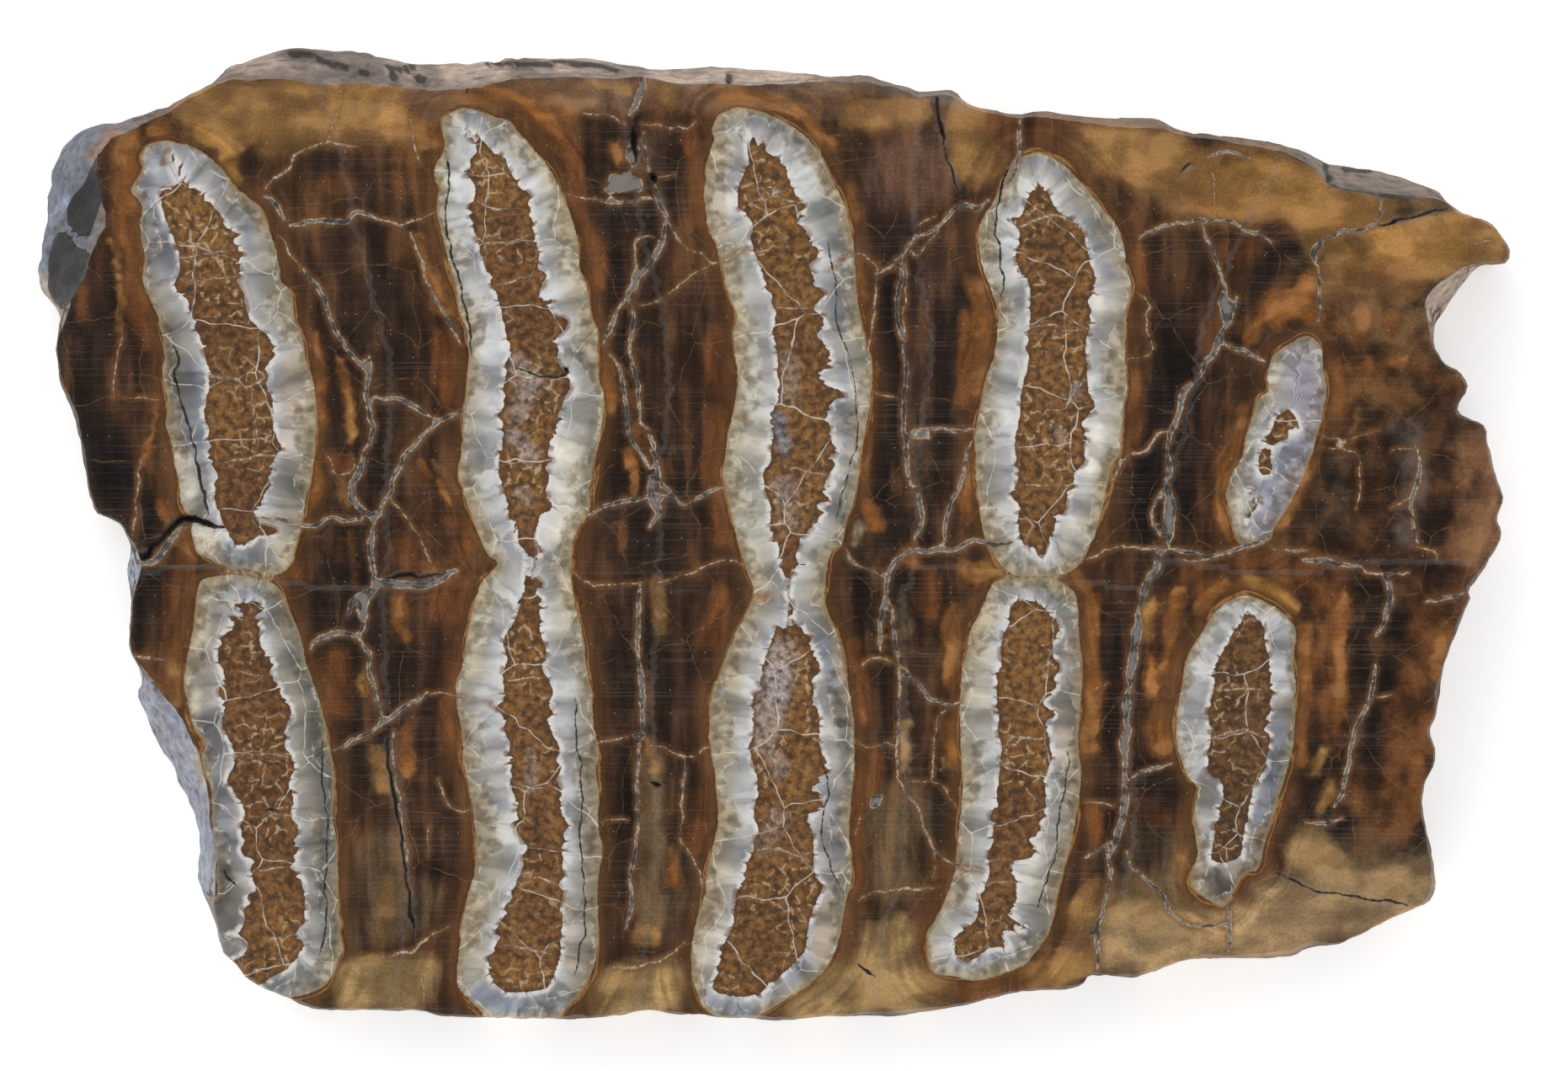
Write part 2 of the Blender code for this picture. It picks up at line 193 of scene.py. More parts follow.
# Outer outlines of the enamel loops. Three of them run on past the slab's lower edge.
LOOPS = {
    "upper A": [
        (8.7, 65.1), (8.0, 64.2), (8.2, 63.4), (7.9, 62.7), (7.3, 61.7), (8.1, 60.6), (8.0, 59.2),
        (8.1, 58.0), (8.3, 56.8), (8.2, 54.9), (8.6, 53.8), (9.2, 52.6), (9.5, 51.6), (9.8, 49.4),
        (9.6, 48.2), (10.0, 46.2), (9.9, 44.2), (10.2, 43.2), (10.6, 41.0), (10.9, 39.8), (10.9, 38.8),
        (11.3, 37.8), (11.8, 37.2), (11.8, 36.4), (12.1, 35.0), (12.7, 34.5), (14.3, 33.8), (16.0, 33.5),
        (17.8, 33.2), (18.5, 33.3), (19.2, 34.0), (19.5, 35.0), (20.0, 37.0), (20.3, 39.0), (20.8, 41.0),
        (21.0, 43.0), (21.1, 45.0), (20.9, 47.2), (20.3, 49.0), (20.0, 50.8), (19.5, 52.0), (19.2, 54.0),
        (18.4, 55.0), (18.3, 56.0), (17.8, 58.0), (17.1, 60.0), (16.6, 60.7), (15.7, 61.4), (15.0, 62.0),
        (14.0, 63.3), (13.3, 64.0), (12.5, 64.6), (11.6, 65.0), (10.5, 65.25), (9.5, 65.3),
    ],
    "lower A": [
        (12.4, 32.5), (13.0, 32.9), (15.0, 33.1), (17.0, 32.8), (18.0, 32.4), (18.8, 31.2), (19.6, 29.2),
        (20.0, 28.0), (20.3, 26.5), (20.9, 25.0), (21.5, 23.0), (21.9, 21.0), (22.3, 19.0), (22.4, 17.0),
        (22.3, 15.0), (22.6, 13.0), (22.7, 9.0), (22.8, 7.0), (23.0, 5.3), (22.7, 4.5), (22.3, 3.5),
        (21.6, 2.6), (19.9, 1.9), (18.7, 1.5), (17.0, 0.0), (13.0, 1.5), (11.5, 5.5), (11.8, 8.8),
        (13.6, 9.2), (13.6, 10.8), (13.7, 12.0), (13.3, 14.5), (13.3, 16.5), (13.2, 17.6), (12.7, 18.8),
        (12.6, 19.8), (12.8, 20.6), (12.0, 21.8), (11.5, 23.4), (11.3, 25.0), (11.4, 26.6), (11.7, 28.2),
        (12.0, 29.6), (12.2, 31.6),
    ],
    "B": [
        (30.6, 67.2), (31.4, 67.6), (32.2, 67.8), (33.0, 67.6), (34.5, 67.1), (35.3, 66.8), (35.9, 66.2),
        (37.2, 64.7), (38.2, 63.5), (39.0, 62.1), (39.5, 60.8), (40.1, 59.3), (40.5, 57.6), (40.6, 55.8),
        (41.2, 54.4), (41.4, 52.6), (41.9, 51.0), (42.0, 47.8), (42.4, 46.0), (42.1, 43.2), (41.5, 41.0),
        (41.3, 38.2), (41.2, 37.5), (40.3, 36.3), (40.0, 34.8), (40.0, 32.6), (40.3, 30.6), (40.8, 29.0),
        (41.1, 26.4), (41.5, 24.4), (41.6, 22.4), (42.0, 19.8), (41.8, 18.8), (42.0, 16.8), (42.0, 14.6),
        (42.2, 12.6), (41.9, 9.6), (42.0, 6.0), (41.6, 4.0), (40.6, 2.0), (39.9, 1.3), (38.0, -0.6),
        (34.5, -0.6), (33.2, 0.8), (31.9, 2.2), (31.5, 3.0), (31.6, 4.8), (31.8, 6.8), (32.2, 8.8),
        (32.7, 10.8), (32.9, 12.8), (32.7, 15.6), (32.4, 17.2), (32.0, 19.0), (31.9, 21.0), (31.5, 23.4),
        (31.4, 25.0), (31.9, 26.4), (32.2, 28.6), (32.6, 30.2), (33.0, 31.8), (33.4, 32.6), (34.5, 34.0),
        (33.9, 34.5), (33.3, 35.6), (32.6, 37.4), (32.0, 39.2), (31.6, 40.7), (31.9, 42.8), (31.9, 44.6),
        (32.3, 47.6), (32.3, 50.8), (31.7, 52.6), (31.4, 54.6), (30.9, 56.3), (30.3, 58.8), (30.0, 60.4),
        (30.2, 61.7), (29.9, 62.4), (29.9, 63.4), (30.5, 64.6), (30.6, 65.2), (30.4, 66.6),
    ],
    "C": [
        (50.4, 66.2), (51.0, 67.3), (52.4, 67.8), (54.0, 67.5), (55.4, 67.0), (57.2, 65.8), (58.5, 64.3),
        (59.2, 62.8), (60.0, 61.2), (60.5, 59.6), (60.9, 57.8), (61.1, 54.8), (61.3, 53.0), (61.7, 51.0),
        (62.2, 49.4), (62.3, 47.6), (62.0, 45.0), (61.6, 43.0), (61.2, 40.0), (60.9, 38.4), (60.3, 36.8),
        (60.0, 35.3), (59.4, 35.0), (58.9, 33.4), (58.8, 31.0), (59.4, 29.4), (60.1, 27.4), (60.4, 25.6),
        (60.9, 22.6), (61.0, 19.6), (60.7, 15.6), (60.6, 13.6), (60.8, 10.8), (60.4, 9.2), (59.9, 6.4),
        (59.2, 4.4), (57.8, 2.9), (56.0, 1.7), (54.3, 0.6), (52.5, -0.6), (50.0, 0.9), (49.1, 2.6),
        (48.9, 5.2), (49.4, 7.8), (49.9, 9.4), (50.1, 11.4), (50.6, 13.4), (50.9, 15.4), (50.6, 18.4),
        (50.4, 19.4), (50.2, 21.4), (50.4, 24.2), (51.0, 25.8), (51.9, 28.2), (52.8, 30.0), (53.4, 31.2),
        (53.5, 32.0), (53.0, 33.4), (52.3, 35.8), (51.7, 38.2), (51.2, 40.6), (51.3, 41.4), (51.7, 43.8),
        (52.2, 46.2), (52.3, 48.0), (52.0, 50.8), (52.2, 52.4), (51.6, 54.0), (51.2, 55.8), (50.8, 57.4),
        (50.2, 58.8), (49.8, 61.4), (49.9, 62.4), (50.1, 64.0), (50.6, 65.4),
    ],
    "upper D": [
        (73.5, 64.2), (74.7, 64.5), (76.2, 63.8), (77.5, 62.6), (78.7, 61.2), (80.3, 59.2), (80.9, 58.0),
        (81.2, 56.0), (81.6, 54.4), (81.2, 52.6), (81.1, 49.6), (81.2, 47.4), (81.0, 45.4), (80.8, 43.4),
        (80.6, 42.0), (80.0, 41.0), (79.6, 39.0), (79.1, 37.0), (78.7, 35.8), (78.2, 34.8), (77.6, 33.8),
        (76.6, 33.2), (74.8, 33.0), (73.2, 33.0), (71.9, 33.9), (71.0, 35.2), (70.5, 36.6), (70.3, 38.2),
        (70.0, 40.0), (70.0, 42.0), (69.9, 43.8), (70.3, 45.4), (70.7, 47.4), (71.3, 49.4), (71.6, 51.4),
        (71.6, 53.0), (71.1, 54.4), (70.5, 56.0), (70.2, 57.6), (70.3, 59.2), (71.4, 61.0), (71.9, 62.2),
        (72.8, 63.9),
    ],
    "lower D": [
        (73.0, 32.9), (75.0, 33.0), (76.6, 32.4), (77.5, 31.2), (77.6, 29.0), (77.8, 27.0), (77.8, 24.0),
        (77.6, 21.0), (77.8, 18.0), (77.4, 15.0), (77.0, 13.0), (76.2, 10.0), (75.8, 8.0), (75.3, 6.4),
        (74.2, 4.8), (73.4, 4.1), (71.4, 3.3), (69.8, 3.0), (68.6, 3.3), (66.9, 3.6), (66.5, 4.8),
        (66.4, 6.4), (67.0, 7.5), (67.7, 9.0), (68.3, 10.6), (68.6, 12.2), (68.8, 15.2), (69.0, 17.2),
        (68.9, 20.2), (68.8, 23.4), (69.0, 26.0), (69.4, 27.6), (69.6, 29.0), (70.3, 30.4), (71.0, 32.0),
        (71.6, 32.7),
    ],
    "upper E": [
        (94.6, 50.9), (95.6, 50.0), (95.8, 48.4), (96.0, 46.6), (95.6, 44.6), (95.2, 43.0), (94.6, 41.2),
        (93.9, 39.6), (93.1, 38.1), (92.2, 36.6), (91.8, 35.7), (90.2, 35.2), (89.4, 35.9), (88.9, 37.4),
        (88.6, 39.0), (88.9, 40.4), (89.7, 41.8), (90.1, 43.4), (90.6, 45.0), (91.0, 46.3), (91.7, 46.8),
        (91.6, 48.0), (92.1, 49.4), (93.2, 50.2),
    ],
    "lower E": [
        (90.2, 31.6), (91.5, 31.1), (93.0, 30.1), (93.8, 28.9), (93.6, 27.4), (93.7, 25.0), (93.6, 21.0),
        (93.3, 19.4), (92.7, 17.4), (92.0, 15.0), (91.5, 13.4), (91.1, 11.8), (90.8, 11.2), (89.9, 10.9),
        (89.1, 9.6), (88.5, 8.6), (87.2, 9.0), (85.9, 10.4), (86.5, 12.6), (86.1, 15.0), (86.5, 17.2),
        (85.8, 18.1), (85.0, 20.2), (84.9, 22.6), (85.3, 25.0), (85.7, 27.0), (86.8, 28.8), (87.9, 30.5),
        (89.2, 31.4),
    ],
}

# The dentine inside the loops, with the lobed inner side of the enamel as its edge.
CORES = [
    [
        (10.8, 62.2), (10.6, 63.4), (10.3, 64.3), (10.9, 63.5), (11.2, 62.2), (12.4, 61.6), (13.3, 60.6),
        (14.2, 59.6), (14.3, 59.0), (15.2, 58.4), (14.9, 58.0), (15.5, 57.0), (15.2, 56.6), (15.4, 55.3),
        (15.1, 55.0), (15.6, 54.0), (15.9, 52.6), (16.7, 51.6), (17.7, 50.6), (18.0, 49.4), (17.3, 48.4),
        (17.5, 48.0), (17.3, 47.2), (17.8, 46.0), (17.9, 44.0), (18.4, 42.6), (17.7, 41.4), (17.7, 40.3),
        (17.2, 39.0), (16.4, 37.4), (16.9, 36.7), (18.0, 36.3), (16.5, 35.9), (15.6, 35.3), (14.8, 35.7),
        (14.2, 37.0), (13.6, 38.6), (13.5, 40.4), (13.1, 42.2), (13.0, 44.0), (12.7, 45.4), (13.1, 47.0),
        (12.9, 49.4), (12.2, 51.0), (11.8, 52.6), (10.9, 54.1), (10.5, 54.8), (10.9, 55.8), (10.8, 57.3),
        (10.0, 59.2), (9.5, 60.8), (9.6, 61.5),
    ],
    [
        (15.2, 31.0), (16.9, 31.1), (17.0, 30.4), (16.6, 29.9), (16.9, 29.2), (16.8, 28.6), (17.2, 27.4),
        (17.9, 26.4), (17.7, 25.8), (18.4, 24.6), (19.0, 23.4), (19.2, 22.9), (18.7, 21.6), (18.9, 21.1),
        (18.7, 20.6), (19.4, 19.0), (19.1, 17.6), (19.5, 16.4), (19.2, 15.8), (19.3, 15.0), (19.7, 14.5),
        (19.5, 13.5), (19.6, 12.4), (19.2, 11.3), (20.1, 10.2), (20.1, 7.4), (19.5, 6.3), (20.1, 6.0),
        (19.7, 4.8), (18.6, 3.7), (17.2, 2.9), (16.0, 1.0), (13.0, 3.2), (15.3, 4.7), (15.8, 5.0),
        (15.7, 6.0), (14.5, 6.3), (15.2, 6.6), (15.6, 7.4), (15.6, 8.3), (16.2, 8.9), (15.9, 9.3),
        (16.5, 9.8), (16.1, 11.3), (16.3, 11.8), (15.6, 12.2), (15.5, 13.0), (15.7, 13.4), (15.4, 14.0),
        (15.7, 15.5), (15.0, 17.0), (14.4, 18.0), (14.9, 19.0), (14.9, 20.0), (14.4, 21.5), (14.2, 23.0),
        (14.0, 24.4), (14.2, 25.6), (13.7, 27.0), (14.1, 28.5), (14.9, 29.2), (14.7, 29.9), (15.5, 29.9),
        (15.7, 30.4),
    ],
    [
        (33.0, 64.8), (32.5, 64.0), (32.4, 63.4), (31.9, 63.0), (32.7, 62.2), (32.7, 61.4), (32.5, 60.0),
        (32.9, 58.4), (33.3, 56.8), (33.9, 55.2), (34.5, 53.6), (34.9, 52.0), (35.3, 50.0), (35.1, 48.6),
        (35.0, 47.2), (34.9, 45.6), (34.6, 44.8), (34.9, 44.0), (34.6, 41.0), (34.9, 39.8), (35.2, 38.4),
        (35.8, 36.6), (35.9, 35.4), (36.6, 34.6), (36.6, 33.2), (36.2, 31.8), (35.9, 31.2), (36.1, 30.8),
        (35.8, 29.8), (34.9, 28.2), (35.2, 26.8), (34.9, 25.4), (34.9, 24.0), (34.4, 23.3), (34.8, 22.6),
        (35.4, 20.3), (35.4, 18.3), (35.7, 16.5), (36.1, 16.2), (35.9, 15.0), (36.1, 14.0), (36.7, 12.9),
        (36.4, 12.4), (36.4, 11.8), (35.9, 10.1), (35.5, 9.6), (35.6, 9.2), (35.0, 8.5), (35.1, 8.0),
        (34.4, 6.8), (34.6, 6.2), (34.1, 5.2), (33.9, 3.6), (34.4, 2.7), (35.4, 2.2), (37.5, 2.3),
        (38.4, 2.8), (38.9, 4.0), (39.2, 5.2), (39.3, 7.6), (39.1, 8.4), (39.3, 10.8), (39.4, 13.2),
        (39.7, 14.8), (38.9, 16.1), (39.3, 16.6), (38.9, 18.0), (39.3, 18.9), (38.9, 19.4), (39.1, 20.3),
        (38.3, 22.1), (38.6, 23.0), (38.4, 23.5), (38.6, 24.6), (37.8, 26.3), (38.2, 27.2), (37.6, 29.2),
        (38.0, 29.7), (37.6, 30.6), (37.9, 31.2), (37.5, 32.1), (37.9, 32.5), (37.0, 33.0), (37.0, 33.5),
        (37.6, 34.0), (36.9, 34.1), (37.6, 34.9), (37.3, 36.0), (37.8, 37.5), (38.6, 38.2), (38.1, 39.2),
        (38.3, 40.4), (38.0, 41.3), (38.5, 41.6), (38.2, 42.5), (39.2, 44.4), (39.0, 44.8), (39.6, 46.8),
        (39.4, 47.2), (39.9, 47.5), (39.2, 48.6), (38.9, 49.2), (39.1, 49.7), (38.7, 50.6), (39.6, 51.9),
        (38.8, 52.2), (38.1, 53.1), (38.5, 53.4), (37.5, 54.0), (38.1, 55.4), (37.5, 55.9), (37.6, 57.1),
        (37.2, 58.5), (36.9, 60.8), (36.0, 62.2), (35.2, 63.5), (35.2, 64.0), (34.2, 64.5), (33.4, 65.4),
        (32.0, 66.3),
    ],
    [
        (52.4, 66.2), (53.2, 65.9), (54.4, 64.7), (55.8, 63.6), (56.2, 62.3), (57.0, 60.9), (57.1, 60.2),
        (56.7, 59.8), (57.3, 58.4), (58.4, 57.1), (57.5, 56.2), (57.7, 55.6), (58.2, 55.2), (58.0, 54.6),
        (58.7, 53.8), (58.1, 53.0), (58.9, 51.7), (58.4, 51.4), (58.5, 50.6), (59.4, 49.2), (58.7, 48.4),
        (58.5, 47.7), (60.2, 46.5), (59.5, 46.1), (59.0, 44.8), (59.3, 43.6), (59.6, 42.4), (58.9, 42.0),
        (59.6, 41.3), (58.9, 40.1), (59.4, 39.8), (58.7, 39.5), (59.1, 38.7), (58.3, 38.4), (58.7, 37.7),
        (57.6, 36.6), (56.9, 35.8), (56.7, 34.5), (57.4, 34.0), (56.6, 33.6), (56.3, 32.5), (56.2, 31.4),
        (56.4, 30.6), (56.4, 29.5), (57.3, 29.0), (58.1, 27.2), (58.5, 26.0), (57.9, 25.4), (58.0, 24.2),
        (57.9, 23.6), (58.3, 23.0), (58.4, 20.6), (59.0, 18.8), (58.0, 17.3), (58.3, 16.9), (58.0, 16.5),
        (58.6, 15.8), (57.6, 15.2), (58.0, 13.5), (58.0, 11.0), (58.6, 10.0), (57.9, 8.2), (57.5, 6.4),
        (57.2, 5.2), (56.2, 4.0), (55.0, 3.0), (53.8, 2.0), (52.2, 1.8), (50.6, 2.3), (50.8, 3.8),
        (51.2, 5.6), (51.9, 7.0), (52.2, 9.0), (52.6, 10.4), (53.3, 12.4), (53.9, 14.2), (53.5, 15.2),
        (53.8, 17.6), (53.2, 20.2), (53.5, 21.4), (53.4, 22.2), (53.5, 24.0), (54.2, 24.6), (54.0, 25.4),
        (54.2, 26.4), (54.7, 28.0), (55.2, 29.1), (55.9, 29.3), (56.1, 31.0), (55.9, 32.5), (55.6, 33.5),
        (55.2, 35.4), (54.7, 36.6), (54.8, 38.0), (54.2, 40.4), (54.7, 41.6), (54.9, 43.6), (54.6, 44.8),
        (55.3, 46.2), (55.2, 49.2), (54.9, 50.8), (55.0, 52.8), (54.3, 55.0), (53.6, 57.0), (53.3, 58.2),
        (53.5, 58.9), (52.8, 60.1), (52.3, 60.6), (52.5, 62.4), (53.1, 63.7), (53.0, 64.9), (53.2, 65.4),
    ],
    [
        (74.7, 62.4), (73.9, 61.2), (73.3, 59.9), (72.3, 59.6), (73.0, 59.0), (73.3, 58.4), (73.0, 56.8),
        (73.3, 56.3), (73.1, 55.5), (73.6, 55.3), (74.0, 54.2), (73.9, 50.8), (73.7, 50.0), (73.9, 49.2),
        (73.4, 46.8), (73.2, 44.4), (72.8, 43.0), (73.0, 40.6), (72.7, 39.0), (73.3, 38.0), (73.1, 37.2),
        (73.6, 35.2), (74.2, 35.2), (74.9, 34.3), (75.5, 35.4), (75.9, 36.8), (75.7, 37.2), (76.6, 38.0),
        (76.5, 38.4), (77.3, 40.0), (77.3, 40.6), (78.1, 42.2), (78.0, 43.8), (77.9, 44.4), (78.4, 45.2),
        (78.9, 45.6), (78.4, 46.6), (78.3, 48.0), (78.2, 49.4), (78.2, 51.0), (78.6, 51.6), (78.5, 53.8),
        (79.0, 54.6), (78.4, 56.6), (78.0, 58.6), (77.4, 59.3), (76.2, 60.0), (75.3, 61.5), (75.0, 62.1),
    ],
    [
        (72.8, 31.2), (74.3, 31.2), (75.3, 30.4), (76.1, 29.2), (76.3, 28.7), (75.8, 28.4), (75.8, 26.9),
        (76.2, 26.4), (75.8, 25.4), (75.9, 24.8), (75.1, 23.6), (75.8, 22.8), (75.2, 22.1), (75.5, 21.0),
        (75.6, 19.3), (75.0, 17.9), (75.2, 16.9), (75.0, 15.0), (74.6, 13.9), (74.1, 13.4), (74.4, 12.2),
        (73.0, 11.8), (72.7, 11.2), (73.1, 10.2), (72.8, 8.3), (72.4, 7.8), (73.7, 6.9), (72.3, 6.7),
        (71.9, 6.3), (72.3, 5.4), (70.9, 5.4), (69.8, 4.5), (68.6, 4.8), (68.4, 6.2), (69.9, 7.4),
        (70.3, 9.2), (70.9, 10.8), (71.2, 14.2), (71.6, 17.4), (71.9, 20.2), (71.5, 22.0), (71.7, 22.6),
        (71.5, 25.8), (71.9, 26.4), (71.9, 27.8), (72.3, 29.4),
    ],
    [
        (92.9, 45.3), (93.6, 45.1), (94.0, 44.0), (93.2, 43.9), (93.1, 43.2), (91.9, 42.6), (92.0, 41.2),
        (91.9, 40.7), (91.1, 40.7), (91.0, 41.8), (91.6, 42.9), (91.2, 43.1), (92.0, 44.0), (92.4, 44.9),
    ],
    [
        (90.2, 39.4), (90.8, 39.0), (91.2, 38.6), (90.5, 37.8), (90.1, 37.0), (90.5, 38.3), (90.5, 38.8),
    ],
    [
        (90.3, 30.4), (90.8, 30.0), (91.2, 29.5), (91.6, 27.4), (91.9, 26.0), (92.0, 24.2), (91.6, 22.0),
        (91.8, 20.6), (91.3, 18.4), (90.6, 17.5), (90.4, 16.2), (90.0, 14.4), (89.7, 12.4), (89.4, 12.0),
        (87.6, 11.8), (87.6, 13.2), (88.1, 15.6), (88.3, 17.8), (87.5, 18.5), (87.2, 19.6), (87.5, 21.4),
        (87.2, 22.6), (87.7, 25.2), (87.5, 25.8), (88.2, 27.2), (89.1, 28.9), (90.1, 30.3),
    ],
]

# Open fissures, painted near-black as the shade inside the gap: half width, then the line
FISSURES = [
    (0.3, [(7.5, 35.0), (8.2, 34.4), (9.0, 35.2), (10.0, 36.4), (10.8, 37.1), (11.6, 37.3), (12.6, 37.1),
           (13.4, 36.9), (14.2, 36.7)]),
    (0.13, [(10.2, 50.4), (10.9, 49.2), (10.5, 48.0), (10.9, 46.5), (11.4, 44.8), (11.7, 43.4),
            (12.3, 41.0),
            (12.6, 39.6), (12.8, 38.4), (13.0, 37.8)]),
    (0.16, [(26.4, 21.5), (26.4, 19.6), (26.7, 17.6), (27.1, 15.0), (27.5, 12.4), (27.8, 10.2),
            (28.0, 8.2),
            (28.4, 6.2)]),
    (0.13, [(36.0, 48.5), (37.2, 48.0), (38.6, 47.7), (39.7, 48.0)]),
    (0.13, [(17.1, 15.6), (17.6, 15.7), (18.2, 15.6)]),
    (0.08, [(21.4, 21.0), (21.6, 18.0), (21.9, 15.0), (21.7, 11.0), (21.8, 7.0), (21.3, 5.0)]),
    (0.08, [(40.3, 24.0), (40.4, 20.5), (40.8, 17.5), (40.7, 13.0), (41.0, 9.5), (40.9, 6.5),
            (40.3, 3.5)]),
    (0.1, [(30.6, 64.6), (31.0, 62.6), (30.6, 60.0), (31.1, 57.2), (31.8, 54.2), (32.5, 51.4),
           (32.6, 49.4)]),
    (0.1, [(72.4, 63.6), (71.8, 61.4), (71.5, 59.0), (71.8, 56.6), (72.0, 55.2), (71.9, 53.6)]),
    (0.06, [(58.9, 58.0), (59.6, 54.4), (59.6, 51.8), (60.6, 49.4), (61.0, 46.8), (61.2, 43.6),
            (60.3, 39.8),
            (59.6, 37.0)]),
    (0.07, [(58.6, 19.4), (59.0, 17.2), (58.7, 15.2), (58.6, 13.4), (59.4, 11.2), (60.0, 9.8)]),
    (0.07, [(76.9, 20.0), (76.6, 17.4), (76.1, 14.8), (75.9, 12.6), (75.2, 10.4), (74.6, 8.4)]),
    (0.2, [(67.0, 69.0), (67.2, 68.0), (67.5, 66.4), (67.7, 65.0)]),
    (0.12, [(67.7, 65.0), (68.3, 63.0), (68.6, 62.2), (69.0, 61.2)]),
    (0.14, [(61.2, 4.2), (61.8, 3.8), (62.4, 3.4)]),
    (0.14, [(100.0, 59.2), (102.0, 59.6), (104.0, 60.1), (105.0, 60.3)]),
    (0.12, [(92.4, 11.0), (93.2, 10.4), (95.4, 9.7), (97.8, 9.3), (100.4, 9.0), (102.6, 8.5)]),
    (0.35, [(44.5, 66.4), (44.6, 65.2), (44.8, 63.9)]),
    (0.3, [(45.9, 62.9), (46.3, 62.3)]),
    (0.25, [(39.5, 48.4), (39.8, 48.1)]),
    (0.2, [(26.2, 32.9), (27.4, 33.1), (29.0, 33.1), (30.2, 33.3)]),
    (0.16, [(32.2, 69.6), (32.1, 68.9)]),
    (0.22, [(46.0, 17.7), (46.7, 17.5)]),
    (0.1, [(85.2, 63.0), (86.3, 64.0)]),
    (0.12, [(14.1, 11.2), (14.5, 10.6), (15.3, 10.0)]),
]

